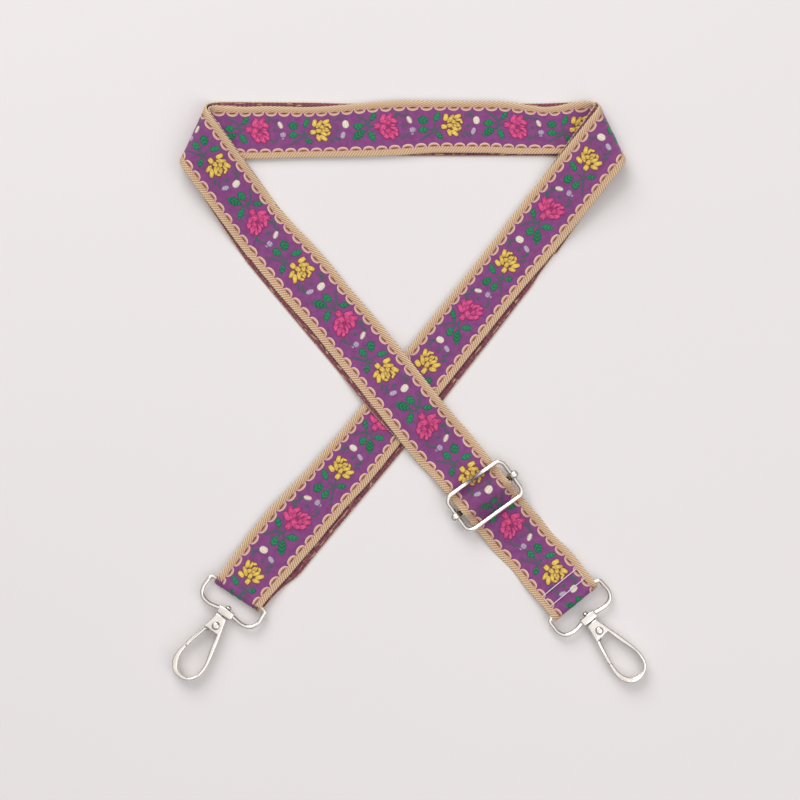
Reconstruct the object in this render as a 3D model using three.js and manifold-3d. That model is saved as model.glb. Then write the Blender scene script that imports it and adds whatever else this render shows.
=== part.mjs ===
// Detachable bag strap, laid out flat on a table.
// One woven webbing is doubled through a slider and carries a swivel hook clasp at each end.
// Millimetres, +Z up. The table is z = 0, and the long way of the laid strap is Y.
import * as THREE from 'three';
import { mergeVertices } from 'three/addons/utils/BufferGeometryUtils.js';
import Module from 'manifold-3d';

const wasm = await Module();
wasm.setup();

const degrees = Math.PI / 180;
const clearance = 0.3;
const weldDistance = 0.0001;
const cutOverrun = 2;

// Webbing: a woven ribbon that lies on itself with a little air between its plies
const webbingWidth = 25;
const webbingThickness = 1.2;
const plyPitch = webbingThickness + clearance;
const halfThickness = webbingThickness / 2;

// Lay of the strap in plan: both legs run from a top corner down through the crossing
const leftLegHeading = -50.2 * degrees;
const rightLegHeading = -128.7 * degrees;
const crossingX = -3.94;
const crossingY = -1.73;
const topRunRise = 119.3;
const crossingToSlider = 58.7;
const crossingToRightBar = 120.2;
const crossingToLeftBar = 114.7;

// How far plies stand aside of their line's centre, and where
const leftUpperAside = 0.6;
const leftMiddleAside = 0.5;
const leftCornerAside = 1.5;
const lowerPlyAside = 1.5;
const rightUpperAside = 1.1;
const rightMiddleAside = 1.4;
const rightCornerAside = 2;
const rightPlyAside = 2.5;
const runPlyAside = 1;
const runPlyRise = 1.4;
const rightRunAside = 0.3;
const rightBarAside = 0.8;
const leftBarAside = 1.3;
const asideBlend = 40;

// Soft folds at the top corners: the leg comes back over the top run and slopes down
const leftFoldReach = 133.9;
const rightFoldReach = 136.3;
const foldRadius = 5.2;
const foldDrop = 14 * degrees;
const easeRadius = 25;

// Left leg's low hump over the right leg
const humpRun = 14;
const humpMargin = 2;

// Clasps: wire ring, swivel post, hook and sprung gate
const ringWire = 2.2;
const ringHalfWidth = 14.7;
const ringReach = 10.2;
const bossHalfWidth = 3.8;
const bossDepth = 3.6;
const bossThickness = 4.6;
const hookReach = 36.2;
const hookHalfWidth = 7.7;
const leftHookLean = -2.5 * degrees;
const rightHookLean = 1 * degrees;
const neckWall = 0.75;
const postRadius = 0.95;
const postHeadRadius = 1.5;
const postHeadHeight = 1.3;
const pivotReachShare = 0.2113;
const rivetRadius = 0.9;
const rivetHeadRadius = 1.9;
const rivetHeadHeight = 0.8;
const gateEyeRadius = 1.9;
const cheekThickness = 0.6;
const gateWall = 0.8;
const gateThickness = 4.4;
const springWire = 0.34;
const springTurns = 2;
const springGap = 0.1;
const springNeckLeg = 150 * degrees;
const springGateLeg = 157 * degrees;
const edgeRound = 0.5;

// Slider: wire frame with a loose centre bar
const sliderWire = 2.2;
const sliderWidth = 20.7;
const sliderSideRoom = 1.8;
const sliderCorner = 3.4;
const knobRadius = 2;
const knobLength = 4.8;
const knobNearShare = 0.375;

// Sewing thread
const threadWire = 0.4;
const clampStitchNear = 4.4;
const clampStitchFar = 10;
const clampTail = 15;
const barStitchNear = 10.5;
const barStitchFar = 16;
const barTail = 17.5;
const stitchMargin = 2.6;

// Facets
const wireSides = 12;
const threadSides = 6;
const roundSides = 28;
const foldStep = 15 * degrees;
const flatStep = 9;
const ringSteps = 68;
const outlineSteps = 64;
const openingSteps = 52;
const springStepsPerTurn = 16;
const stitchSteps = 3;

// Sizes that follow from the ones above
const springPitch = springWire + springGap;
const springHalfSpan = (springTurns * springPitch + springWire) / 2;
const cheekInner = springHalfSpan + clearance;
const cheekOuter = cheekInner + cheekThickness;
const slotHalf = cheekOuter + clearance;
const hookThickness = 2 * (slotHalf + neckWall);
const pivotReach = pivotReachShare * hookReach;
const rivetHalfLength = hookThickness / 2 + clearance + rivetHeadHeight;
const claspZ = rivetHalfLength;
const ringWireRadius = ringWire / 2;
const sliderWireRadius = sliderWire / 2;
const restZ = halfThickness;
const upperZ = restZ + plyPitch;
const threadRoom = clearance + threadWire;
const sliderLowZ = restZ + threadRoom;
const sliderHighZ = sliderLowZ + 2 * plyPitch;
const sliderZ = sliderHighZ + halfThickness + clearance + sliderWireRadius;
const ringTurnRadius = ringWireRadius + clearance + halfThickness;
const barTurnRadius = sliderWireRadius + clearance + halfThickness;
const sliderHalfLength = webbingWidth / 2 + sliderSideRoom + sliderWireRadius;
const sliderHalfWidth = sliderWidth / 2 - sliderWireRadius;

const finishes = {
  webbing: { color: 0x8f4f86, roughness: 0.85, metalness: 0 },
  thread: { color: 0xece4ee, roughness: 0.8, metalness: 0 },
  nickel: { color: 0xc9cbce, roughness: 0.25, metalness: 1 },
  spring: { color: 0x9a9c9f, roughness: 0.35, metalness: 1 },
};

// Plan vector from a heading
function along(heading) {
  return new THREE.Vector2(Math.cos(heading), Math.sin(heading));
}

// The same vector turned a quarter turn anticlockwise
function leftOf(vector) {
  return new THREE.Vector2(-vector.y, vector.x);
}

function smooth(share) {
  const held = Math.min(Math.max(share, 0), 1);
  return held * held * (3 - 2 * held);
}

// A value that eases from one [place, value] pair to the next
function eased(pairs, place) {
  for (let index = 1; index < pairs.length; index += 1) {
    const [fromPlace, fromValue] = pairs[index - 1];
    const [toPlace, toValue] = pairs[index];
    if (place <= toPlace) {
      return fromValue + (toValue - fromValue) * smooth((place - fromPlace) / (toPlace - fromPlace));
    }
  }
  return pairs[pairs.length - 1][1];
}

// Straight lines between corners [x, y, radius], each corner rounded by an arc of its radius
function roundedPath(corners, longestStep = Infinity) {
  const rounded = [new THREE.Vector2(corners[0][0], corners[0][1])];
  for (let index = 1; index < corners.length - 1; index += 1) {
    const here = new THREE.Vector2(corners[index][0], corners[index][1]);
    const radius = corners[index][2];
    const back = new THREE.Vector2(corners[index - 1][0], corners[index - 1][1]).sub(here).normalize();
    const ahead = new THREE.Vector2(corners[index + 1][0], corners[index + 1][1]).sub(here).normalize();
    const turn = Math.PI - Math.acos(Math.min(Math.max(back.dot(ahead), -1), 1));
    const side = Math.sign(back.cross(ahead));
    const inward = back.clone().add(ahead).normalize();
    const centre = here.clone().addScaledVector(inward, radius / Math.cos(turn / 2));
    const start = here.clone().addScaledVector(back, radius * Math.tan(turn / 2));
    const steps = Math.max(3, Math.ceil(turn / foldStep));
    for (let step = 0; step <= steps; step += 1) {
      rounded.push(start.clone().rotateAround(centre, (-side * turn * step) / steps));
    }
  }
  const last = corners[corners.length - 1];
  rounded.push(new THREE.Vector2(last[0], last[1]));
  const path = [rounded[0]];
  for (let index = 1; index < rounded.length; index += 1) {
    const from = rounded[index - 1];
    const pieces = Math.max(1, Math.ceil(from.distanceTo(rounded[index]) / longestStep));
    for (let piece = 1; piece <= pieces; piece += 1) {
      path.push(from.clone().lerp(rounded[index], piece / pieces));
    }
  }
  return path.filter((point, index) => index === 0 || point.distanceTo(path[index - 1]) > weldDistance);
}

// One straight line across the webbing: its middle, and half of it as a vector
function station(plan, height, ruling, heading) {
  const half = webbingWidth / 2 / Math.abs(Math.sin(ruling - heading));
  return {
    middle: new THREE.Vector3(plan.x, plan.y, height),
    half: new THREE.Vector3(Math.cos(ruling) * half, Math.sin(ruling) * half, 0),
  };
}

// A stretch along one plan line. Its corners are [distance, height, radius] in a standing plane.
// Rulings are an eased table over the same distance. Aside gives how far the middle stands off the
// line, from the distance, the height and whether the path has turned back.
function stretch(line, corners, rulings, aside) {
  const side = leftOf(line.direction);
  const points = roundedPath(corners, flatStep);
  const farthest = points.reduce((best, point, index) => (point.x > points[best].x ? index : best), 0);
  return points.map((point, index) => {
    const plan = line.origin.clone().addScaledVector(line.direction, point.x);
    plan.addScaledVector(side, aside(point.x, point.y, index > farthest));
    return station(plan, point.y, eased(rulings, point.x), line.heading);
  });
}

// A corner where the top run rolls over into a leg. Rulings all lie along the fold line, which
// halves the angle between run and leg, so the webbing wraps a general cylinder.
function makeCorner(runLine, outward, legLine, foldReach) {
  const arriving = runLine.direction.clone().multiplyScalar(outward);
  const fold = arriving.clone().add(legLine.direction).normalize();
  const out = arriving.clone().addScaledVector(fold, -arriving.dot(fold)).normalize();
  const slant = arriving.dot(fold) / arriving.dot(out);
  const ruling = Math.atan2(fold.y, fold.x) + Math.PI;
  const edge = legLine.origin.dot(out) + foldReach - foldRadius;
  return { fold, out, slant, ruling, runLine, legLine, edge };
}

// The fold's outline in the standing plane across the fold line, and its length
function foldPath(corner, radius, runHeight, legHeight) {
  const centreHeight = runHeight + radius;
  const rise = (radius * (1 + Math.sin(foldDrop))) / Math.cos(foldDrop);
  const reach = (radius + (centreHeight - legHeight) * Math.cos(foldDrop)) / Math.sin(foldDrop);
  const points = roundedPath([
    [corner.edge, runHeight],
    [corner.edge + radius, runHeight, radius],
    [corner.edge + radius, centreHeight + rise, radius],
    [corner.edge - reach, legHeight, easeRadius],
    [corner.edge - reach - foldRadius, legHeight],
  ], flatStep);
  const travelled = [0];
  for (let index = 1; index < points.length; index += 1) {
    travelled.push(travelled[index - 1] + points[index].distanceTo(points[index - 1]));
  }
  return { points, travelled, end: points[points.length - 1], length: travelled[points.length - 1] };
}

// One ply of a corner. It leaves the run and joins the leg at the given asides, and drifts evenly
// along the fold line in between.
function foldPly(corner, radius, runHeight, legHeight, runAside, legAside) {
  const { fold, out, slant, runLine, legLine } = corner;
  const path = foldPath(corner, radius, runHeight, legHeight);
  const runPoint = runLine.origin.clone().addScaledVector(leftOf(runLine.direction), runAside);
  const legPoint = legLine.origin.clone().addScaledVector(leftOf(legLine.direction), legAside);
  const entry = runPoint.dot(fold) + slant * (corner.edge - runPoint.dot(out));
  const exit = legPoint.dot(fold) + slant * (legPoint.dot(out) - path.end.x);
  const stations = path.points.map((point, index) => {
    const plan = out.clone().multiplyScalar(point.x);
    plan.addScaledVector(fold, entry + ((exit - entry) * path.travelled[index]) / path.length);
    return station(plan, point.y, corner.ruling, legLine.heading);
  });
  const first = stations[0].middle;
  const last = stations[stations.length - 1].middle;
  const landed = new THREE.Vector2(last.x, last.y).sub(legLine.origin);
  return {
    stations,
    runPlace: new THREE.Vector2(first.x, first.y).sub(runLine.origin).dot(runLine.direction),
    legPlace: landed.dot(legLine.direction),
    legAside,
  };
}

// Closed body of a ribbon: four points at each station, in order round the section
function ribbon(stations) {
  const positions = [];
  stations.forEach((here, index) => {
    const before = stations[Math.max(index - 1, 0)].middle;
    const after = stations[Math.min(index + 1, stations.length - 1)].middle;
    const travel = after.clone().sub(here.middle).normalize();
    travel.add(here.middle.clone().sub(before).normalize());
    const normal = here.half.clone().cross(travel).normalize().multiplyScalar(halfThickness);
    for (const [across, up] of [[1, 1], [-1, 1], [-1, -1], [1, -1]]) {
      const point = here.middle.clone().addScaledVector(here.half, across).addScaledVector(normal, up);
      positions.push(point.x, point.y, point.z);
    }
  });
  return tubeGeometry(positions, stations.length, 4, false);
}

// Skin over rings of points, closed by flat ends or joined end to end
function tubeGeometry(positions, rings, sides, joined) {
  const indices = [];
  const last = joined ? rings : rings - 1;
  for (let ring = 0; ring < last; ring += 1) {
    const next = (ring + 1) % rings;
    for (let side = 0; side < sides; side += 1) {
      const turn = (side + 1) % sides;
      indices.push(ring * sides + side, ring * sides + turn, next * sides + turn);
      indices.push(ring * sides + side, next * sides + turn, next * sides + side);
    }
  }
  if (!joined) {
    const end = (rings - 1) * sides;
    for (let side = 1; side < sides - 1; side += 1) {
      indices.push(0, side + 1, side);
      indices.push(end, end + side, end + side + 1);
    }
  }
  const geometry = new THREE.BufferGeometry();
  geometry.setAttribute('position', new THREE.Float32BufferAttribute(positions, 3));
  geometry.setIndex(indices);
  return facingOut(geometry);
}

// Turns the faces round where the enclosed volume comes out negative
function facingOut(geometry) {
  const position = geometry.getAttribute('position');
  const index = Array.from(geometry.getIndex().array);
  const corners = [new THREE.Vector3(), new THREE.Vector3(), new THREE.Vector3()];
  let volume = 0;
  for (let face = 0; face < index.length; face += 3) {
    corners.forEach((corner, place) => corner.fromBufferAttribute(position, index[face + place]));
    volume += corners[0].dot(corners[1].clone().cross(corners[2]));
  }
  if (volume < 0) {
    index.reverse();
    geometry.setIndex(index);
  }
  geometry.computeVertexNormals();
  return geometry;
}

// Round wire along points that never climb straight up
function wire(points, radius, sides, joined) {
  const up = new THREE.Vector3(0, 0, 1);
  const positions = [];
  points.forEach((point, index) => {
    const count = points.length;
    const before = joined ? points[(index + count - 1) % count] : points[Math.max(index - 1, 0)];
    const after = joined ? points[(index + 1) % count] : points[Math.min(index + 1, count - 1)];
    const travel = after.clone().sub(before).normalize();
    const across = travel.clone().cross(up).normalize();
    const rise = across.clone().cross(travel);
    for (let side = 0; side < sides; side += 1) {
      const angle = (2 * Math.PI * side) / sides;
      const place = point.clone().addScaledVector(across, radius * Math.cos(angle));
      place.addScaledVector(rise, radius * Math.sin(angle));
      positions.push(place.x, place.y, place.z);
    }
  });
  return tubeGeometry(positions, points.length, sides, joined);
}

// Solids for cutting and joining
function toSolid(geometry) {
  const bare = geometry.clone();
  bare.deleteAttribute('normal');
  bare.deleteAttribute('uv');
  const merged = mergeVertices(bare, weldDistance);
  const source = merged.getIndex().array;
  const faces = [];
  for (let face = 0; face < source.length; face += 3) {
    const [a, b, c] = [source[face], source[face + 1], source[face + 2]];
    if (a !== b && b !== c && c !== a) {
      faces.push(a, b, c);
    }
  }
  return new wasm.Manifold(new wasm.Mesh({
    numProp: 3,
    vertProperties: new Float32Array(merged.getAttribute('position').array),
    triVerts: new Uint32Array(faces),
  }));
}

function fromSolid(solid) {
  const mesh = solid.getMesh();
  const geometry = new THREE.BufferGeometry();
  geometry.setAttribute('position', new THREE.Float32BufferAttribute(mesh.vertProperties, 3));
  geometry.setIndex(Array.from(mesh.triVerts));
  geometry.computeVertexNormals();
  return geometry;
}

// Plate of a plan shape, centred on the plane of its clasp, with rounded rims
function plate(shape, thickness, round) {
  const geometry = new THREE.ExtrudeGeometry(shape, {
    depth: thickness - 2 * round,
    bevelEnabled: round > 0,
    bevelThickness: round,
    bevelSize: round,
    bevelOffset: -round,
    bevelSegments: 2,
    curveSegments: 8,
  });
  geometry.translate(0, 0, round - thickness / 2);
  return toSolid(geometry);
}

// Round pin along Z through a plan point
function pinAlongZ(radius, length, x, y) {
  const geometry = new THREE.CylinderGeometry(radius, radius, length, roundSides);
  geometry.rotateX(Math.PI / 2);
  geometry.translate(x, y, 0);
  return toSolid(geometry);
}

function pinAlongY(radius, length, x, y) {
  const geometry = new THREE.CylinderGeometry(radius, radius, length, roundSides);
  geometry.translate(x, y, 0);
  return toSolid(geometry);
}

// Lines of the lay
const crossing = new THREE.Vector2(crossingX, crossingY);
const leftLeg = { origin: crossing, heading: leftLegHeading, direction: along(leftLegHeading) };
const rightLeg = { origin: crossing, heading: rightLegHeading, direction: along(rightLegHeading) };
const topRun = {
  origin: new THREE.Vector2(crossingX, crossingY + topRunRise),
  heading: 0,
  direction: new THREE.Vector2(1, 0),
};

const leftCorner = makeCorner(topRun, -1, leftLeg, leftFoldReach);
const rightCorner = makeCorner(topRun, 1, rightLeg, rightFoldReach);
const innerRadius = foldRadius - plyPitch;
const leftOuter = foldPly(leftCorner, foldRadius, restZ, upperZ, 0, -leftUpperAside);
const rightOuter = foldPly(rightCorner, foldRadius, restZ, upperZ, 0, rightUpperAside);
const leftInner = foldPly(leftCorner, innerRadius, upperZ, restZ, -runPlyAside, -leftCornerAside);
const rightInner = foldPly(rightCorner, innerRadius, upperZ, restZ, rightRunAside, rightCornerAside);

// Rulings square to each leg, and those set by the bars and by what a leg crosses
const squareToLeft = leftLegHeading + Math.PI / 2;
const squareToRight = rightLegHeading + 1.5 * Math.PI;
const crossingRuling = rightLegHeading + Math.PI;
const sliderSkew = -3.9 * degrees;
const rightBarSkew = -0.5 * degrees;
const leftBarSkew = 5.3 * degrees;
const leftRulings = [
  [leftOuter.legPlace, leftCorner.ruling],
  [leftOuter.legPlace + asideBlend, crossingRuling],
  [webbingWidth, crossingRuling],
  [crossingToSlider - sliderWidth, squareToLeft + sliderSkew],
  [crossingToSlider + sliderWidth, squareToLeft + sliderSkew],
  [crossingToRightBar - webbingWidth, squareToLeft + rightBarSkew],
];
const rightRulings = [
  [rightOuter.legPlace, rightCorner.ruling],
  [rightOuter.legPlace + asideBlend, squareToRight],
  [crossingToLeftBar - webbingWidth, squareToRight],
  [crossingToLeftBar - ringTurnRadius, squareToRight + leftBarSkew],
];
const runRulings = [
  [leftOuter.runPlace, leftCorner.ruling],
  [leftOuter.runPlace + asideBlend, Math.PI / 2],
  [rightOuter.runPlace - asideBlend, Math.PI / 2],
  [rightOuter.runPlace, rightCorner.ruling],
];

// Hump of the left leg over the right leg's two plies, for a ply at a given height
const humpHalf = (webbingWidth / 2 + humpMargin) / Math.abs(Math.sin(leftLegHeading - rightLegHeading));
function hump(height) {
  const over = height + 2 * plyPitch;
  return [
    [-humpHalf - humpRun, height, easeRadius],
    [-humpHalf, over, easeRadius],
    [humpHalf, over, easeRadius],
    [humpHalf + humpRun, height, easeRadius],
  ];
}

// Teardrop of webbing round a ring's bar at a distance along the leg, from the upper ply to the lower
const claspPinch = clampStitchNear - clearance;
const claspSlope = 10 * degrees;
const pinchAngle = Math.asin(ringTurnRadius / Math.hypot(claspPinch, plyPitch / 2))
  - Math.atan2(plyPitch / 2, claspPinch);
function teardrop(place) {
  const spread = (ringTurnRadius * (1 + Math.sin(pinchAngle))) / Math.cos(pinchAngle);
  return [
    [place - claspPinch, claspZ + plyPitch / 2, 4 * ringTurnRadius],
    [place + ringTurnRadius, claspZ + spread, ringTurnRadius],
    [place + ringTurnRadius, claspZ - spread, ringTurnRadius],
    [place - claspPinch, claspZ - plyPitch / 2, ringTurnRadius],
  ];
}

// Middle of a ply on the slope up to a ring, above its bar for side 1 and below it for side -1
function clampHeight(side, distance) {
  return claspZ + side * (plyPitch / 2) - (distance - claspPinch) * Math.tan(claspSlope);
}

function slopeStart(place, height, pinchedHeight) {
  return place - claspPinch - (pinchedHeight - height) / Math.tan(claspSlope);
}

// Wave of the upper ply over the slider's bar, as steep as the sewn tail below it
const waveAngle = 60 * degrees;
const waveRadius = barTurnRadius + plyPitch;
const waveFoot = (sliderZ - sliderHighZ + waveRadius / Math.cos(waveAngle)) / Math.tan(waveAngle);
const waveEase = webbingThickness;
const tailPlace = crossingToSlider - barTail;
const sliderWave = [
  [tailPlace - 3.5 * humpMargin, upperZ, easeRadius / 3],
  [tailPlace - humpMargin, sliderHighZ, easeRadius / 3],
  [crossingToSlider - waveFoot, sliderHighZ, waveEase],
  [crossingToSlider, sliderZ + waveRadius / Math.cos(waveAngle), waveRadius],
  [crossingToSlider + waveFoot, sliderHighZ, waveEase],
  [crossingToSlider + sliderHalfWidth + humpMargin, sliderHighZ, easeRadius / 3],
  [crossingToSlider + sliderWidth + 2 * humpMargin, restZ, easeRadius / 2],
];
const clampSlope = (claspZ + plyPitch / 2 - restZ) / Math.tan(claspSlope);

const upperLeft = stretch(leftLeg, [
  [leftOuter.legPlace, upperZ],
  ...hump(upperZ),
  ...sliderWave,
  [crossingToRightBar - claspPinch - clampSlope, restZ, easeRadius],
  ...teardrop(crossingToRightBar),
  [crossingToRightBar - clampTail, clampHeight(-1, clampTail)],
], leftRulings, (place) => eased([
  [leftOuter.legPlace, leftOuter.legAside],
  [leftOuter.legPlace + asideBlend, leftMiddleAside],
  [-webbingWidth, leftMiddleAside],
  [webbingWidth, -leftMiddleAside],
  [crossingToSlider - sliderWidth, 0],
  [crossingToSlider + sliderWidth, 0],
  [crossingToRightBar - webbingWidth / 2, rightBarAside],
], place));

const upperRight = stretch(rightLeg, [
  [rightOuter.legPlace, upperZ],
  [slopeStart(crossingToLeftBar, upperZ, claspZ + plyPitch / 2), upperZ, easeRadius],
  ...teardrop(crossingToLeftBar),
  [crossingToLeftBar - clampStitchFar, clampHeight(-1, clampStitchFar)],
], rightRulings, (place, height, returning) => eased([
  [rightOuter.legPlace, rightOuter.legAside],
  [webbingWidth, rightMiddleAside],
  [crossingToLeftBar - webbingWidth, -leftBarAside],
], place) + turnDrift(place, height, returning));

// The webbing slides a little along the left ring's bar as it goes round it
function turnDrift(place, height, returning) {
  if (place > crossingToLeftBar) {
    return leftBarAside * smooth((claspZ + ringTurnRadius - height) / (2 * ringTurnRadius));
  }
  return returning ? leftBarAside : 0;
}

const lowerRight = stretch(rightLeg, [
  [crossingToLeftBar - clampStitchFar, clampHeight(-1, clampStitchFar)],
  [slopeStart(crossingToLeftBar, restZ, claspZ - plyPitch / 2), restZ, easeRadius],
  [rightInner.legPlace, restZ],
], rightRulings, (place) => eased([
  [rightInner.legPlace, rightInner.legAside],
  [0, rightMiddleAside + rightPlyAside],
  [crossingToLeftBar - webbingWidth, rightPlyAside],
  [crossingToLeftBar - clampStitchFar, 0],
], place));

const lowerLeft = stretch(leftLeg, [
  [leftInner.legPlace, restZ],
  ...hump(restZ),
  [tailPlace - 3.5 * humpMargin, restZ, easeRadius / 3],
  [tailPlace - humpMargin, sliderLowZ, easeRadius / 3],
  ...barWrap(),
  [tailPlace, sliderLowZ + plyPitch],
], leftRulings, (place) => eased([
  [leftInner.legPlace, leftInner.legAside],
  [leftInner.legPlace + asideBlend / 2, -lowerPlyAside],
  [0, -lowerPlyAside],
  [crossingToSlider - sliderWidth, 0],
], place));

// The sewn end goes under the slider's bar, round it and back on top of itself
function barWrap() {
  const tailHeight = sliderLowZ + plyPitch;
  const foot = (sliderZ - tailHeight + barTurnRadius / Math.cos(waveAngle)) / Math.tan(waveAngle);
  const drop = sliderZ - sliderLowZ;
  const approach = Math.atan2(drop, foot) - Math.asin(barTurnRadius / Math.hypot(drop, foot));
  const under = barTurnRadius * ((1 - Math.sin(approach)) / Math.cos(approach));
  const over = barTurnRadius * ((1 + Math.sin(waveAngle)) / Math.cos(waveAngle));
  return [
    [crossingToSlider - foot, sliderLowZ, 2 * plyPitch],
    [crossingToSlider + barTurnRadius, sliderZ - under, barTurnRadius],
    [crossingToSlider + barTurnRadius, sliderZ + over, barTurnRadius],
    [crossingToSlider - foot, tailHeight, waveEase + plyPitch],
  ];
}

const upperRun = stretch(topRun, [
  [leftInner.runPlace, upperZ],
  [rightInner.runPlace, upperZ],
], runRulings, (place) => eased([
  [leftInner.runPlace, -runPlyAside],
  [leftInner.runPlace + asideBlend, -runPlyAside / 2],
  [webbingWidth, runPlyRise],
  [rightInner.runPlace - asideBlend / 2, runPlyRise],
  [rightInner.runPlace, rightRunAside],
], place));
const lowerRun = stretch(topRun, [
  [leftOuter.runPlace, restZ],
  [rightOuter.runPlace, restZ],
], runRulings, () => 0);

// The whole webbing, from the tail at the right clasp to the tail at the slider
const webbingStations = [
  ...upperLeft.slice().reverse(),
  ...leftOuter.stations.slice().reverse(),
  ...lowerRun,
  ...rightOuter.stations,
  ...upperRight,
  ...lowerRight,
  ...rightInner.stations.slice().reverse(),
  ...upperRun.slice().reverse(),
  ...leftInner.stations,
  ...lowerLeft,
].filter((here, index, all) => index === 0 || here.middle.distanceTo(all[index - 1].middle) > clearance / 3);

// Sewn box: one closed thread that lies just off a face of the webbing
function stitchBox(line, near, far, heightAt, ruling, aside) {
  const half = webbingWidth / 2 - stitchMargin;
  const across = along(ruling);
  const cornersInPlan = [[near, 1], [near, -1], [far, -1], [far, 1]];
  const points = [];
  cornersInPlan.forEach(([place, side], index) => {
    const [nextPlace, nextSide] = cornersInPlan[(index + 1) % cornersInPlan.length];
    for (let step = 0; step < stitchSteps; step += 1) {
      const share = step / stitchSteps;
      const here = place + (nextPlace - place) * share;
      const reach = half * (side + (nextSide - side) * share);
      const plan = line.origin.clone().addScaledVector(line.direction, here);
      plan.addScaledVector(across, reach).addScaledVector(leftOf(line.direction), aside);
      points.push(new THREE.Vector3(plan.x, plan.y, heightAt(here)));
    }
  });
  return wire(points, threadWire / 2, threadSides, true);
}

// Ring: straight bar at the far side, swelling sides, and a bored boss for the swivel post
const bossNearShare = 0.375;
const bossNear = bossDepth * bossNearShare;
const bossFar = bossDepth - bossNear;
const ringShares = [
  [0.98, 0.93], [1, 0.64], [1, 0.33], [0.88, 0.02], [0.62, -0.1], [0.33, -0.05], [0, 0.037],
];
function ringGeometry() {
  const barHalf = webbingWidth / 2 + clearance;
  const right = [new THREE.Vector3(barHalf, 0, 0)];
  ringShares.forEach(([widthShare, reachShare]) => {
    right.push(new THREE.Vector3(widthShare * ringHalfWidth, (reachShare - 1) * ringReach, 0));
  });
  const left = right.slice(0, -1).reverse().map((point) => new THREE.Vector3(-point.x, point.y, 0));
  const curve = new THREE.CatmullRomCurve3([...right, ...left], false, 'centripetal');
  const loop = toSolid(wire(curve.getPoints(ringSteps), ringWireRadius, wireSides, true));
  const blockOutline = rectangle(-bossHalfWidth, bossHalfWidth, ringReach - bossNear, ringReach + bossFar);
  const block = plate(blockOutline, bossThickness, edgeRound);
  const bore = pinAlongY(postRadius + clearance, 2 * bossDepth, 0, -ringReach);
  return fromSolid(loop.add(block).subtract(bore));
}

// Rectangle between two widths and two reaches. Reach runs away from the strap, against Y.
function rectangle(left, right, near, far) {
  const shape = new THREE.Shape();
  shape.moveTo(left, -near);
  shape.lineTo(right, -near);
  shape.lineTo(right, -far);
  shape.lineTo(left, -far);
  return shape;
}

// Hook outline and its opening, as shares of the hook's half width and reach
const neckTop = bossFar + clearance;
const outerShares = [
  [0.474, 0.211], [0.737, 0.418], [0.971, 0.652], [1, 0.802], [0.842, 0.903], [0.497, 0.971],
  [0.012, 1], [-0.497, 0.975], [-0.877, 0.877], [-0.971, 0.764], [-0.883, 0.603], [-0.69, 0.396],
  [-0.544, 0.26],
];
const neckShares = [0.287, -0.38];
const openingShares = [
  [0.339, 0.292], [0.515, 0.476], [0.772, 0.665], [0.789, 0.797], [0.632, 0.898], [0.316, 0.94],
  [-0.187, 0.933], [-0.556, 0.853], [-0.696, 0.731], [-0.632, 0.597], [-0.462, 0.434], [-0.316, 0.292],
];
const openingTop = openingShares[0][1] * hookReach;
const gateReachShare = 0.435;
const gateLength = gateReachShare * hookReach;
const bayTop = openingTop + clearance / 2;

function scaledPoints(shares) {
  return shares.map(([width, reach]) => new THREE.Vector2(width * hookHalfWidth, -reach * hookReach));
}

function hookOutline() {
  const right = new THREE.Vector2(neckShares[0] * hookHalfWidth, -neckTop);
  const left = new THREE.Vector2(neckShares[1] * hookHalfWidth, -neckTop);
  const rim = new THREE.SplineCurve([right, ...scaledPoints(outerShares), left]).getPoints(outlineSteps);
  const shape = new THREE.Shape(rim);
  const opening = new THREE.SplineCurve(scaledPoints(openingShares)).getPoints(openingSteps).reverse();
  shape.holes.push(new THREE.Path(opening));
  return shape;
}

// Bay between neck and nose where the gate swings, pulled in by a margin all round
function gateBay(margin) {
  const radius = gateLength + clearance / 2 - margin;
  const top = bayTop + margin;
  const wide = 1.2 * hookHalfWidth;
  const wideAngle = Math.acos(wide / radius);
  const shape = new THREE.Shape();
  shape.moveTo(0, -top);
  shape.lineTo(-wide, -top);
  shape.absarc(0, -pivotReach, radius, Math.PI + wideAngle, 1.5 * Math.PI, false);
  return shape;
}

function hookGeometry() {
  const slotTop = pivotReach - gateEyeRadius - 2 * clearance;
  const slotSide = gateEyeRadius + clearance;
  const slot = plate(rectangle(-hookHalfWidth, slotSide, slotTop, bayTop), 2 * slotHalf, 0);
  const bay = plate(gateBay(0), hookThickness + cutOverrun, 0);
  const boreLength = slotTop - neckTop + cutOverrun;
  const bore = pinAlongY(postRadius + clearance, boreLength, 0, -neckTop - boreLength / 2 + cutOverrun / 2);
  const rivetHole = pinAlongZ(rivetRadius + clearance, hookThickness + cutOverrun, 0, -pivotReach);
  const blank = plate(hookOutline(), hookThickness, edgeRound);
  return fromSolid(blank.subtract(bay).subtract(slot).subtract(bore).subtract(rivetHole));
}

// Width of the hook's outer edge on the gate's side at a reach
function outerEdge(reach) {
  const side = scaledPoints(outerShares).filter((point) => point.x < 0).reverse();
  const below = side.findIndex((point) => -point.y > reach);
  const [from, to] = [side[Math.max(below - 1, 0)], side[Math.max(below, 1)]];
  return from.x + ((to.x - from.x) * (reach + from.y)) / (from.y - to.y);
}

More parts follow.
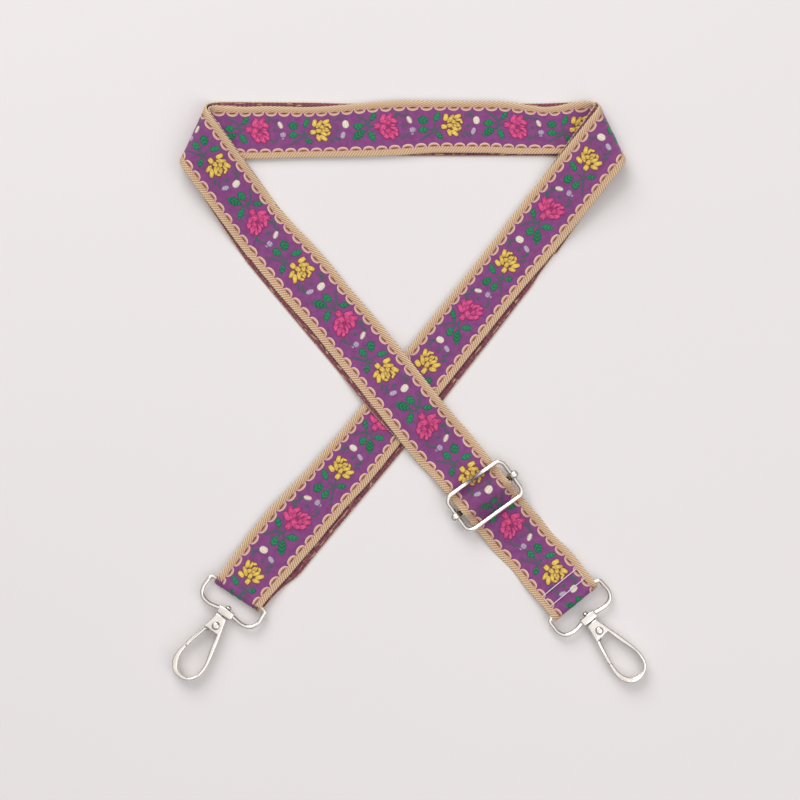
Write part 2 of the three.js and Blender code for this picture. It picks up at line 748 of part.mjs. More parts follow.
// Gate: a channel open to the inside of the hook, on two cheeks that turn on the rivet
function gateGeometry() {
  const arm = plate(hookOutline(), gateThickness, edgeRound)
    .intersect(plate(gateBay(clearance), gateThickness + cutOverrun, 0));
  const head = bayTop + clearance;
  const channelTop = head + 1.5 * gateWall;
  const channelEnd = pivotReach + gateLength - 3 * gateWall;
  const channel = new THREE.Shape();
  channel.moveTo(0, -channelTop);
  channel.lineTo(outerEdge(channelTop) + gateWall, -channelTop);
  channel.lineTo(outerEdge(channelEnd) + gateWall, -channelEnd);
  channel.lineTo(0, -channelEnd);
  const eye = new THREE.Shape();
  eye.absarc(0, -pivotReach, gateEyeRadius, 0, 2 * Math.PI, false);
  const link = new THREE.Shape();
  link.moveTo(-gateEyeRadius, -pivotReach);
  link.lineTo(outerEdge(head) + edgeRound, -head);
  link.lineTo(outerEdge(head) + edgeRound, -head - gateWall);
  link.lineTo(openingShares[11][0] * hookHalfWidth, -head - gateWall);
  link.lineTo(gateEyeRadius, -pivotReach);
  let gate = arm.subtract(plate(channel, gateThickness - 2 * gateWall, 0));
  for (const side of [1, -1]) {
    const cheek = plate(eye, cheekThickness, 0).add(plate(link, cheekThickness, 0));
    gate = gate.add(cheek.translate([0, 0, side * (cheekInner + cheekThickness / 2)]));
  }
  return fromSolid(gate.subtract(pinAlongZ(rivetRadius + clearance, hookThickness, 0, -pivotReach)));
}

// Turned pieces: a profile of [radius, height] pairs from axis to axis
function turned(profile) {
  const points = profile.map(([radius, height]) => new THREE.Vector2(radius, height));
  return new THREE.LatheGeometry(points, roundSides);
}

function closedBody(geometry) {
  return facingOut(fromSolid(toSolid(geometry)));
}

// Swivel post: domed head inside the ring, shank through the boss into the hook's neck
function postGeometry() {
  const seat = bossNear + clearance;
  const end = -(pivotReach - gateEyeRadius - 3 * clearance);
  return closedBody(turned([
    [0, end],
    [postRadius, end],
    [postRadius, seat],
    [postHeadRadius, seat],
    [postHeadRadius, seat + postHeadHeight / 2],
    [postHeadRadius / 2, seat + postHeadHeight],
    [0, seat + postHeadHeight],
  ]));
}

function rivetGeometry() {
  const seat = hookThickness / 2 + clearance;
  const half = [
    [rivetRadius, seat],
    [rivetHeadRadius, seat],
    [rivetHeadRadius, seat + rivetHeadHeight / 2],
    [rivetHeadRadius / 2, seat + rivetHeadHeight],
    [0, seat + rivetHeadHeight],
  ];
  const other = half.map(([radius, height]) => [radius, -height]).reverse();
  return closedBody(turned([...other, ...half]).rotateX(Math.PI / 2));
}

// Torsion spring round the rivet: one leg on the neck, one leg along the gate
function springGeometry() {
  const radius = rivetRadius + clearance + springWire;
  const gateLeg = springGateLeg + springTurns * 2 * Math.PI;
  const steps = springStepsPerTurn * springTurns;
  const points = [];
  for (let step = 0; step <= steps; step += 1) {
    const angle = springNeckLeg + ((gateLeg - springNeckLeg) * step) / steps;
    const height = springPitch * springTurns * (step / steps - 0.5);
    points.push(new THREE.Vector3(radius * Math.cos(angle), radius * Math.sin(angle), height));
  }
  const start = new THREE.Vector3(Math.sin(springNeckLeg), -Math.cos(springNeckLeg), 0);
  const finish = new THREE.Vector3(-Math.sin(gateLeg), Math.cos(gateLeg), 0);
  points.unshift(points[0].clone().addScaledVector(start, rivetHeadRadius));
  points.push(points[points.length - 1].clone().addScaledVector(finish, bayTop - pivotReach));
  return wire(points, springWire / 2, threadSides, false);
}

// Slider frame: one bent wire whose ends butt at the middle of one long side
function sliderFrameGeometry() {
  const seam = clearance / 2;
  const outline = roundedPath([
    [-seam, sliderHalfWidth],
    [-sliderHalfLength, sliderHalfWidth, sliderCorner],
    [-sliderHalfLength, -sliderHalfWidth, sliderCorner],
    [sliderHalfLength, -sliderHalfWidth, sliderCorner],
    [sliderHalfLength, sliderHalfWidth, sliderCorner],
    [seam, sliderHalfWidth],
  ], flatStep);
  const points = outline.map((point) => new THREE.Vector3(point.x, point.y, 0));
  return wire(points, sliderWireRadius, wireSides, false);
}

// Slider bar: a rod whose knobs are bored for the frame's short sides
function sliderBarGeometry() {
  const knobStart = sliderHalfLength - knobNearShare * knobLength;
  const knobEnd = knobStart + knobLength;
  const half = [
    [sliderWireRadius, knobStart],
    [knobRadius, knobStart],
    [knobRadius, knobEnd - knobRadius / 2],
    [knobRadius / 2, knobEnd],
    [0, knobEnd],
  ];
  const other = half.map(([radius, height]) => [radius, -height]).reverse();
  let bar = toSolid(turned([...other, ...half]).rotateZ(Math.PI / 2));
  for (const side of [1, -1]) {
    bar = bar.subtract(pinAlongY(sliderWireRadius + clearance, 4 * knobRadius, side * sliderHalfLength, 0));
  }
  return fromSolid(bar);
}

function part(name, geometry, finish) {
  const mesh = new THREE.Mesh(geometry, new THREE.MeshStandardMaterial(finishes[finish]));
  mesh.name = name;
  return mesh;
}

// A clasp hangs from the bar of its ring, which lies in the webbing's fold
function clasp(name, line, place, aside, turn, lean) {
  const bar = line.origin.clone().addScaledVector(line.direction, place);
  bar.addScaledVector(leftOf(line.direction), aside);
  const hook = new THREE.Group();
  hook.position.set(0, -ringReach, 0);
  hook.rotation.z = lean;
  hook.add(part(`${name}_hook`, hookGeometry(), 'nickel'));
  hook.add(part(`${name}_swivel_post`, postGeometry(), 'nickel'));
  hook.add(part(`${name}_gate`, gateGeometry(), 'nickel'));
  for (const [piece, geometry, finish] of [
    ['gate_rivet', rivetGeometry(), 'nickel'],
    ['gate_spring', springGeometry(), 'spring'],
  ]) {
    const mesh = part(`${name}_${piece}`, geometry, finish);
    mesh.position.set(0, -pivotReach, 0);
    hook.add(mesh);
  }
  const group = new THREE.Group();
  group.position.set(bar.x, bar.y, claspZ);
  group.rotation.z = turn;
  group.add(part(`${name}_loop`, ringGeometry(), 'nickel'), hook);
  return group;
}

const strap = new THREE.Group();
strap.add(part('webbing', ribbon(webbingStations), 'webbing'));

const threadLift = halfThickness + clearance + threadWire / 2;
strap.add(part('clasp_end_stitches', stitchBox(
  leftLeg,
  crossingToRightBar - clampStitchNear,
  crossingToRightBar - clampStitchFar,
  (place) => clampHeight(1, crossingToRightBar - place) + threadLift,
  squareToLeft + rightBarSkew,
  rightBarAside,
), 'thread'));
strap.add(part('slider_end_stitches', stitchBox(
  leftLeg,
  crossingToSlider - barStitchNear,
  crossingToSlider - barStitchFar,
  () => sliderLowZ - threadLift,
  squareToLeft + sliderSkew,
  0,
), 'thread'));

const slider = new THREE.Group();
const sliderPlan = leftLeg.origin.clone().addScaledVector(leftLeg.direction, crossingToSlider);
slider.position.set(sliderPlan.x, sliderPlan.y, sliderZ);
slider.rotation.z = squareToLeft + sliderSkew;
slider.add(part('slider_frame', sliderFrameGeometry(), 'nickel'));
slider.add(part('slider_bar', sliderBarGeometry(), 'nickel'));
strap.add(slider);

const leftTurn = squareToRight + leftBarSkew - Math.PI;
const rightTurn = squareToLeft + rightBarSkew;
strap.add(clasp('left', rightLeg, crossingToLeftBar, -leftBarAside, leftTurn, leftHookLean));
strap.add(clasp('right', leftLeg, crossingToRightBar, rightBarAside, rightTurn, rightHookLean));

export default strap;
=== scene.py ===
"""Detachable bag strap on a pale table: woven flower webbing, a wire slider and two swivel hook clasps."""

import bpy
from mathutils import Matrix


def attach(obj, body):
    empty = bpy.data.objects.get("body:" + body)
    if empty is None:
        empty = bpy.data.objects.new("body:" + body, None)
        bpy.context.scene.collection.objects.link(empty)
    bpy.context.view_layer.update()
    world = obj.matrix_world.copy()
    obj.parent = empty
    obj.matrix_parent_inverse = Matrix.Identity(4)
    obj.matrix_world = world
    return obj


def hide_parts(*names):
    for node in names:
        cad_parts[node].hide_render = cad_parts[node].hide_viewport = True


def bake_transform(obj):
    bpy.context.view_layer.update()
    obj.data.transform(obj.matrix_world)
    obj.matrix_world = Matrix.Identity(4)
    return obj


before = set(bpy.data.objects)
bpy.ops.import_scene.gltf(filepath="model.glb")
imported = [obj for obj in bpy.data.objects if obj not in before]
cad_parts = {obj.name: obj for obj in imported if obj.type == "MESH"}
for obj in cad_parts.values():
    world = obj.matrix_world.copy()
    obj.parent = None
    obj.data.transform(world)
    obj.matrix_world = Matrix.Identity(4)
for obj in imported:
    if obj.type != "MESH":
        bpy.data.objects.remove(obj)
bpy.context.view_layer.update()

from types import SimpleNamespace

import bmesh
import bpy
import numpy as np
from mathutils import Vector

MM = 0.001
DEG = np.pi / 180

# ---- camera and light

PHOTO_PIXEL = 0.45 * MM
PHOTO_WIDTH = 800
VIEW_WIDTH = PHOTO_WIDTH * PHOTO_PIXEL
CAMERA_HEIGHT = 1.4
SENSOR = 36.0
VIEW_CENTRE = (-4.26 * MM, -3.96 * MM)

camera_data = bpy.data.cameras.new("overhead_camera")
camera_data.sensor_width = SENSOR
camera_data.lens = SENSOR * CAMERA_HEIGHT / VIEW_WIDTH
camera = bpy.data.objects.new("overhead_camera", camera_data)
camera.location = (*VIEW_CENTRE, CAMERA_HEIGHT)
bpy.context.scene.collection.objects.link(camera)
bpy.context.scene.camera = camera
bpy.context.scene.view_settings.view_transform = "Standard"

# ---- lay of the webbing, millimetres

WIDTH = 25.0
HALF = WIDTH / 2
CLEARANCE = 0.3
PLY = 1.2 + CLEARANCE
REST_Z = 0.6
UPPER_Z = REST_Z + PLY
CLASP_Z = 3.66
SLIDER_LOW_Z = 1.3
SLIDER_HIGH_Z = SLIDER_LOW_Z + 2 * PLY
SLIDER_Z = 6.3
SLIDER_WIDTH = 20.7
SLIDER_HALF_WIDTH = 9.25
FOLD_RADIUS = 5.2
FOLD_DROP = 14 * DEG
EASE_RADIUS = 25.0
ASIDE_BLEND = 40.0
TURN_RADIUS = 2.0
LINE_STEP = 1.2
ARC_STEP = 5 * DEG
SAME_POINT = 1e-4
LEAST_STEP = 0.05
RULING_ROUNDS = 10


def unit(vector):
    return vector / np.linalg.norm(vector, axis=-1, keepdims=True)


def quarter_left(vector):
    """The plan vector turned a quarter turn anticlockwise: (−y, x)."""
    return np.stack([-vector[..., 1], vector[..., 0]], axis=-1)


def smooth(share):
    """0 below 0, 1 above 1, and t²(3 − 2t) between."""
    share = np.clip(share, 0, 1)
    return share * share * (3 - 2 * share)


def distances(points):
    """How far each point is from the one before it."""
    return np.linalg.norm(np.diff(points, axis=0), axis=1)


def travelled_to(points):
    """Length travelled along the points to each of them."""
    return np.r_[0, np.cumsum(distances(points))]


def eased(pairs, place):
    """A value that goes between (place, value) pairs by the smooth step of its share of the way."""
    places, values = np.array(pairs, float).T
    after = np.clip(np.searchsorted(places, place), 1, len(places) - 1)
    share = (place - places[after - 1]) / (places[after] - places[after - 1])
    return values[after - 1] + (values[after] - values[after - 1]) * smooth(share)


def rounded_path(corners):
    """Straight lines between corners (x, y, radius). Each inner corner gives way to an arc of its radius
    that touches both lines; arcs are cut every 5 degrees and lines every 1.2 mm."""
    corners = [np.array(corner, float) for corner in corners]
    runs = [corners[0][None, :2]]
    for before, here, after in zip(corners, corners[1:], corners[2:]):
        point, radius = here[:2], here[2]
        back, ahead = unit(before[:2] - point), unit(after[:2] - point)
        turn = np.pi - np.arccos(np.clip(back @ ahead, -1, 1))
        side = np.sign(back[0] * ahead[1] - back[1] * ahead[0])
        centre = point + unit(back + ahead) * radius / np.cos(turn / 2)
        arm = point + back * radius * np.tan(turn / 2) - centre
        steps = max(3, int(np.ceil(turn / ARC_STEP)))
        angle = (-side * turn * np.arange(steps + 1) / steps)[:, None]
        runs.append(centre + np.cos(angle) * arm + np.sin(angle) * quarter_left(arm))
    runs.append(corners[-1][None, :2])
    joined = np.concatenate(runs)
    joined = joined[np.r_[True, distances(joined) > SAME_POINT]]
    pieces = np.maximum(1, np.ceil(distances(joined) / LINE_STEP)).astype(int)
    first = np.repeat(np.arange(len(pieces)), pieces)
    share = (np.arange(pieces.sum()) - np.repeat(np.cumsum(pieces) - pieces, pieces)) / pieces[first]
    return np.vstack([joined[first] + (joined[first + 1] - joined[first]) * share[:, None], joined[-1]])


def stations(plan, height, ruling, heading, breadth):
    """Rows (middle, half): the middle of a straight line across the webbing, and half of that line. A line
    at an angle to the webbing is longer by one over the sine of the angle."""
    ruling = np.broadcast_to(ruling, height.shape)
    half = breadth / np.abs(np.sin(ruling - heading))
    flat = np.zeros_like(height)
    return np.column_stack([plan, height, np.cos(ruling) * half, np.sin(ruling) * half, flat])


def lay_line(origin, heading):
    direction = np.array([np.cos(heading), np.sin(heading)])
    return SimpleNamespace(origin=np.array(origin, float), heading=heading, direction=direction)


def stretch(line, corners, rulings, asides, breadths, drift=None):
    """A stretch of webbing over one plan line. The corners (distance, height, radius) give its standing
    profile; the rulings, the step aside and half the breadth seen from above are eased over the same
    distance, and a drift adds to the step aside."""
    path = rounded_path(corners)
    place, height = path.T
    aside = eased(asides, place)
    if drift:
        aside = drift(place, height) + aside
    plan = line.origin + place[:, None] * line.direction + aside[:, None] * quarter_left(line.direction)
    return stations(plan, height, eased(rulings, place), line.heading, eased(breadths, place))


def make_corner(run, outward, leg, reach):
    """A corner where the top run rolls over into a leg. The fold line halves the angle between run and
    leg."""
    arriving = run.direction * outward
    fold = unit(arriving + leg.direction)
    out = unit(arriving - fold * (arriving @ fold))
    return SimpleNamespace(
        fold=fold,
        out=out,
        slant=(arriving @ fold) / (arriving @ out),
        ruling=np.arctan2(fold[1], fold[0]) + np.pi,
        run=run,
        leg=leg,
        edge=leg.origin @ out + reach - FOLD_RADIUS,
    )


def fold_ply(corner, radius, run_z, leg_z, run_aside, leg_aside, leg_breadth=HALF):
    """One ply of a corner: in the plane across the fold line it rises round a half circle and comes back
    down a gentle slope, and it drifts along the fold line evenly with the length that it has travelled. Its
    half breadth eases to the leg's on the way."""
    centre_z = run_z + radius
    rise = radius * (1 + np.sin(FOLD_DROP)) / np.cos(FOLD_DROP)
    reach = (radius + (centre_z - leg_z) * np.cos(FOLD_DROP)) / np.sin(FOLD_DROP)
    path = rounded_path([
        (corner.edge, run_z, 0),
        (corner.edge + radius, run_z, radius),
        (corner.edge + radius, centre_z + rise, radius),
        (corner.edge - reach, leg_z, EASE_RADIUS),
        (corner.edge - reach - FOLD_RADIUS, leg_z, 0),
    ])
    travelled = travelled_to(path)
    run, leg = corner.run, corner.leg
    run_point = run.origin + quarter_left(run.direction) * run_aside
    leg_point = leg.origin + quarter_left(leg.direction) * leg_aside
    entry = run_point @ corner.fold + corner.slant * (corner.edge - run_point @ corner.out)
    leave = leg_point @ corner.fold + corner.slant * (leg_point @ corner.out - path[-1, 0])
    drift = entry + (leave - entry) * travelled / travelled[-1]
    plan = path[:, :1] * corner.out + drift[:, None] * corner.fold
    breadth = HALF + (leg_breadth - HALF) * smooth(travelled / travelled[-1])
    return SimpleNamespace(
        rows=stations(plan, path[:, 1], corner.ruling, leg.heading, breadth),
        run_place=(plan[0] - run.origin) @ run.direction,
        leg_place=(plan[-1] - leg.origin) @ leg.direction,
        leg_aside=leg_aside,
    )


CROSSING = (-3.94, -1.73)
TOP_RUN_RISE = 119.3
TO_SLIDER = 58.7
TO_RIGHT_BAR = 120.2
TO_LEFT_BAR = 114.7
LEFT_FOLD_REACH = 133.9
RIGHT_FOLD_REACH = 136.3
LEFT_LEG = lay_line(CROSSING, -50.2 * DEG)
RIGHT_LEG = lay_line(CROSSING, -128.7 * DEG)
TOP_RUN = lay_line((CROSSING[0], CROSSING[1] + TOP_RUN_RISE), 0.0)
LEFT_CORNER = make_corner(TOP_RUN, -1, LEFT_LEG, LEFT_FOLD_REACH)
RIGHT_CORNER = make_corner(TOP_RUN, 1, RIGHT_LEG, RIGHT_FOLD_REACH)
INNER_RADIUS = FOLD_RADIUS - PLY
LEFT_OUTER = fold_ply(LEFT_CORNER, FOLD_RADIUS, REST_Z, UPPER_Z, 0, -0.6)
RIGHT_OUTER = fold_ply(RIGHT_CORNER, FOLD_RADIUS, REST_Z, UPPER_Z, 0, 1.1)
LEFT_INNER = fold_ply(LEFT_CORNER, INNER_RADIUS, UPPER_Z, REST_Z, -1.5, -1.5, 13.5)
RIGHT_INNER = fold_ply(RIGHT_CORNER, INNER_RADIUS, UPPER_Z, REST_Z, 0.3, 2, 12.9)

SQUARE_TO_LEFT = LEFT_LEG.heading + np.pi / 2
SQUARE_TO_RIGHT = RIGHT_LEG.heading + 1.5 * np.pi
CROSSING_RULING = RIGHT_LEG.heading + np.pi
SLIDER_TURN = SQUARE_TO_LEFT - 3.9 * DEG
RIGHT_BAR_TURN = SQUARE_TO_LEFT - 0.5 * DEG
LEFT_BAR_TURN = SQUARE_TO_RIGHT + 5.3 * DEG
LEFT_RULINGS = [
    (LEFT_OUTER.leg_place, LEFT_CORNER.ruling),
    (LEFT_OUTER.leg_place + ASIDE_BLEND, CROSSING_RULING),
    (WIDTH, CROSSING_RULING),
    (TO_SLIDER - SLIDER_WIDTH, SLIDER_TURN),
    (TO_SLIDER + SLIDER_WIDTH, SLIDER_TURN),
    (TO_RIGHT_BAR - WIDTH, RIGHT_BAR_TURN),
]
RIGHT_RULINGS = [
    (RIGHT_OUTER.leg_place, RIGHT_CORNER.ruling),
    (RIGHT_OUTER.leg_place + ASIDE_BLEND, SQUARE_TO_RIGHT),
    (TO_LEFT_BAR - WIDTH, SQUARE_TO_RIGHT),
    (TO_LEFT_BAR - TURN_RADIUS, LEFT_BAR_TURN),
]
RUN_RULINGS = [
    (LEFT_OUTER.run_place, LEFT_CORNER.ruling),
    (LEFT_OUTER.run_place + ASIDE_BLEND, np.pi / 2),
    (RIGHT_OUTER.run_place - ASIDE_BLEND, np.pi / 2),
    (RIGHT_OUTER.run_place, RIGHT_CORNER.ruling),
]

# Half the breadth that shows from above: the cloth leans and curls a little on its way
LEFT_BREADTHS = [
    (-125, 12.5), (-105, 11.7), (-85, 12.5), (-72, 13.0), (-62, 13.0), (-50, 12.6), (-30, 12.9), (30, 13.0),
    (45, 12.6), (77, 12.6), (81, 12.9), (92, 12.2), (105, 12.9), (115, 12.5),
]
RIGHT_BREADTHS = [
    (-130, 12.5), (-115, 12.4), (-95, 12.3), (-70, 11.8), (25, 12.0), (42, 12.3), (55, 12.1), (65, 12.6),
    (76, 13.1), (92, 12.9), (103, 12.3), (110, 11.9),
]
RUN_BREADTHS = [
    (-87, 12.2), (-74, 11.6), (-63, 11.8), (-42, 11.3), (-3, 12.3), (18, 11.6), (45, 11.6), (68, 10.5),
    (88, 12.2),
]
LOWER_LEFT_BREADTHS = [(-96, 13.5), (-5, 13.3), (15, 12.5)]
LOWER_RIGHT_BREADTHS = [(-99, 12.3), (-88, 12.5), (-76, 13.2), (-60, 13.0), (-10, 12.5)]
LOWER_RUN_BREADTHS = [(-80, 12.5), (-45, 12.3), (-20, 11.8), (60, 11.8), (88, 12.4)]

HUMP_RUN = 14.0
HUMP_MARGIN = 2.0
HUMP_HALF = (HALF + HUMP_MARGIN) / abs(np.sin(LEFT_LEG.heading - RIGHT_LEG.heading))
PINCH = 4.1
SLOPE = 10 * DEG
WAVE_ANGLE = 60 * DEG
WAVE_RADIUS = TURN_RADIUS + PLY
WAVE_EASE = 1.2
CLAMP_FAR = 10.0
CLAMP_TAIL = 15.0
RING_DRIFT = 1.3
TAIL_RAMP = 7.0
TAIL_PLACE = TO_SLIDER - 17.5


def hump(height):
    """Low hump of the left leg over the two plies of the right one."""
    over = height + 2 * PLY
    return [
        (-HUMP_HALF - HUMP_RUN, height, EASE_RADIUS),
        (-HUMP_HALF, over, EASE_RADIUS),
        (HUMP_HALF, over, EASE_RADIUS),
        (HUMP_HALF + HUMP_RUN, height, EASE_RADIUS),
    ]


def clamp_height(side, distance):
    """Height of a ply on the slope up to a ring, above its bar for side 1 and below it for side −1."""
    return CLASP_Z + side * PLY / 2 - (distance - PINCH) * np.tan(SLOPE)


def slope_start(place, height, pinched):
    """Where the slope up to the pinched height at a ring's bar leaves a lower height."""
    return place - PINCH - (pinched - height) / np.tan(SLOPE)


def teardrop(place):
    """Profile of the webbing round a ring's bar, from the upper ply to the lower one."""
    pinch_angle = np.arcsin(TURN_RADIUS / np.hypot(PINCH, PLY / 2)) - np.arctan2(PLY / 2, PINCH)
    spread = TURN_RADIUS * (1 + np.sin(pinch_angle)) / np.cos(pinch_angle)
    return [
        (place - PINCH, CLASP_Z + PLY / 2, 4 * TURN_RADIUS),
        (place + TURN_RADIUS, CLASP_Z + spread, TURN_RADIUS),
        (place + TURN_RADIUS, CLASP_Z - spread, TURN_RADIUS),
        (place - PINCH, CLASP_Z - PLY / 2, TURN_RADIUS),
    ]


def slider_wave():
    """Profile of the upper ply over the slider's bar."""
    foot = (SLIDER_Z - SLIDER_HIGH_Z + WAVE_RADIUS / np.cos(WAVE_ANGLE)) / np.tan(WAVE_ANGLE)
    return [
        (TAIL_PLACE - TAIL_RAMP, UPPER_Z, EASE_RADIUS / 3),
        (TAIL_PLACE - HUMP_MARGIN, SLIDER_HIGH_Z, EASE_RADIUS / 3),
        (TO_SLIDER - foot, SLIDER_HIGH_Z, WAVE_EASE),
        (TO_SLIDER, SLIDER_Z + WAVE_RADIUS / np.cos(WAVE_ANGLE), WAVE_RADIUS),
        (TO_SLIDER + foot, SLIDER_HIGH_Z, WAVE_EASE),
        (TO_SLIDER + SLIDER_HALF_WIDTH + HUMP_MARGIN, SLIDER_HIGH_Z, EASE_RADIUS / 3),
        (TO_SLIDER + SLIDER_WIDTH + 2 * HUMP_MARGIN, REST_Z, EASE_RADIUS / 2),
    ]


def bar_wrap():
    """Profile of the sewn end: under the slider's bar, round it and back on top of itself."""
    tail_z = SLIDER_LOW_Z + PLY
    foot = (SLIDER_Z - tail_z + TURN_RADIUS / np.cos(WAVE_ANGLE)) / np.tan(WAVE_ANGLE)
    drop = SLIDER_Z - SLIDER_LOW_Z
    approach = np.arctan2(drop, foot) - np.arcsin(TURN_RADIUS / np.hypot(drop, foot))
    under = TURN_RADIUS * (1 - np.sin(approach)) / np.cos(approach)
    over = TURN_RADIUS * (1 + np.sin(WAVE_ANGLE)) / np.cos(WAVE_ANGLE)
    return [
        (TO_SLIDER - foot, SLIDER_LOW_Z, 2 * PLY),
        (TO_SLIDER + TURN_RADIUS, SLIDER_Z - under, TURN_RADIUS),
        (TO_SLIDER + TURN_RADIUS, SLIDER_Z + over, TURN_RADIUS),
        (TO_SLIDER - foot, tail_z, WAVE_EASE + PLY),
    ]


def ring_drift(place, height):
    """The webbing slides 1.3 mm along the left ring's bar as it goes down round it."""
    round_bar = RING_DRIFT * smooth((CLASP_Z + TURN_RADIUS - height) / (2 * TURN_RADIUS))
    returning = np.arange(len(place)) > place.argmax()
    return np.where(place > TO_LEFT_BAR, round_bar, np.where(returning, RING_DRIFT, 0.0))


upper_left = stretch(LEFT_LEG, [
    (LEFT_OUTER.leg_place, UPPER_Z, 0),
    *hump(UPPER_Z),
    *slider_wave(),
    (slope_start(TO_RIGHT_BAR, REST_Z, CLASP_Z + PLY / 2), REST_Z, EASE_RADIUS),
    *teardrop(TO_RIGHT_BAR),
    (TO_RIGHT_BAR - CLAMP_TAIL, clamp_height(-1, CLAMP_TAIL), 0),
], LEFT_RULINGS, [
    (LEFT_OUTER.leg_place, LEFT_OUTER.leg_aside),
    (LEFT_OUTER.leg_place + ASIDE_BLEND, 0.5),
    (-WIDTH, 0.5),
    (WIDTH, -0.5),
    (TO_SLIDER - SLIDER_WIDTH, 0),
    (TO_SLIDER + SLIDER_WIDTH, 0),
    (TO_RIGHT_BAR - HALF, 0.8),
], LEFT_BREADTHS)
upper_right = stretch(RIGHT_LEG, [
    (RIGHT_OUTER.leg_place, UPPER_Z, 0),
    (slope_start(TO_LEFT_BAR, UPPER_Z, CLASP_Z + PLY / 2), UPPER_Z, EASE_RADIUS),
    *teardrop(TO_LEFT_BAR),
    (TO_LEFT_BAR - CLAMP_FAR, clamp_height(-1, CLAMP_FAR), 0),
], RIGHT_RULINGS, [
    (RIGHT_OUTER.leg_place, RIGHT_OUTER.leg_aside),
    (WIDTH, 1.4),
    (TO_LEFT_BAR - WIDTH, -1.3),
], RIGHT_BREADTHS, ring_drift)
lower_right = stretch(RIGHT_LEG, [
    (TO_LEFT_BAR - CLAMP_FAR, clamp_height(-1, CLAMP_FAR), 0),
    (slope_start(TO_LEFT_BAR, REST_Z, CLASP_Z - PLY / 2), REST_Z, EASE_RADIUS),
    (RIGHT_INNER.leg_place, REST_Z, 0),
], RIGHT_RULINGS, [
    (RIGHT_INNER.leg_place, RIGHT_INNER.leg_aside),
    (0, 3.9),
    (TO_LEFT_BAR - WIDTH, 2.5),
    (TO_LEFT_BAR - CLAMP_FAR, 0),
], LOWER_RIGHT_BREADTHS)
lower_left = stretch(LEFT_LEG, [
    (LEFT_INNER.leg_place, REST_Z, 0),
    *hump(REST_Z),
    (TAIL_PLACE - TAIL_RAMP, REST_Z, EASE_RADIUS / 3),
    (TAIL_PLACE - HUMP_MARGIN, SLIDER_LOW_Z, EASE_RADIUS / 3),
    *bar_wrap(),
    (TAIL_PLACE, SLIDER_LOW_Z + PLY, 0),
], LEFT_RULINGS, [
    (LEFT_INNER.leg_place, LEFT_INNER.leg_aside),
    (LEFT_INNER.leg_place + ASIDE_BLEND / 2, -1.5),
    (0, -1.5),
    (TO_SLIDER - SLIDER_WIDTH, 0),
], LOWER_LEFT_BREADTHS)
upper_run = stretch(TOP_RUN, [
    (LEFT_INNER.run_place, UPPER_Z, 0),
    (RIGHT_INNER.run_place, UPPER_Z, 0),
], RUN_RULINGS, [
    (LEFT_INNER.run_place, -1.5),
    (LEFT_INNER.run_place + ASIDE_BLEND, -1.3),
    (0.75 * WIDTH, 1.3),
    (1.5 * WIDTH, 1.2),
    (RIGHT_INNER.run_place - ASIDE_BLEND / 2, -0.4),
    (RIGHT_INNER.run_place, 0.3),
], RUN_BREADTHS)
lower_run = stretch(TOP_RUN, [
    (LEFT_OUTER.run_place, REST_Z, 0),
    (RIGHT_OUTER.run_place, REST_Z, 0),
], RUN_RULINGS, [(0, 0), (1, 0)], LOWER_RUN_BREADTHS)

STRETCHES = {
    "upper_left": upper_left[::-1],
    "left_outer": LEFT_OUTER.rows[::-1],
    "lower_run": lower_run,
    "right_outer": RIGHT_OUTER.rows,
    "upper_right": upper_right,
    "lower_right": lower_right,
    "right_inner": RIGHT_INNER.rows[::-1],
    "upper_run": upper_run[::-1],
    "left_inner": LEFT_INNER.rows,
    "lower_left": lower_left,
}


def whole_lay():
    """Every station of the webbing in order: the length s travelled to it, its middle and half line, the
    face's normal (half × tangent) and the slant, how far along the cloth the ruling's end lies from its
    middle."""
    rows = np.concatenate(list(STRETCHES.values()))
    owner = np.repeat(list(STRETCHES), [len(part) for part in STRETCHES.values()])
    keep = np.r_[True, distances(rows[:, :3]) > LEAST_STEP]
    rows, owner = rows[keep], owner[keep]
    middle, half = rows[:, :3], rows[:, 3:]
    ways = unit(np.diff(middle, axis=0))
    tangent = unit(np.vstack([ways[:1], ways[:-1] + ways[1:], ways[-1:]]))
    return SimpleNamespace(
        s=travelled_to(middle),
        middle=middle,
        half=half,
        normal=unit(np.cross(half, tangent)),
        slant=np.sum(half * tangent, axis=1),
        owner=owner,
    )


LAY = whole_lay()


def on_webbing(u, w, lift):
    """Points (..., 3) of the webbing in millimetres: u along the cloth and w across it, raised by lift
    along the face's normal. The ruling that passes through a point is found by ten rounds of s = u − (w /
    half width) · slant(s)."""
    share = w / HALF
    s = u.copy()
    for _ in range(RULING_ROUNDS):
        s = u - share * np.interp(s, LAY.s, LAY.slant)
    middle, half, normal = (
        np.stack([np.interp(s, LAY.s, column) for column in columns.T], axis=-1)
        for columns in (LAY.middle, LAY.half, LAY.normal)
    )
    return middle + half * share[..., None] + normal * lift[..., None]


# ---- meshes


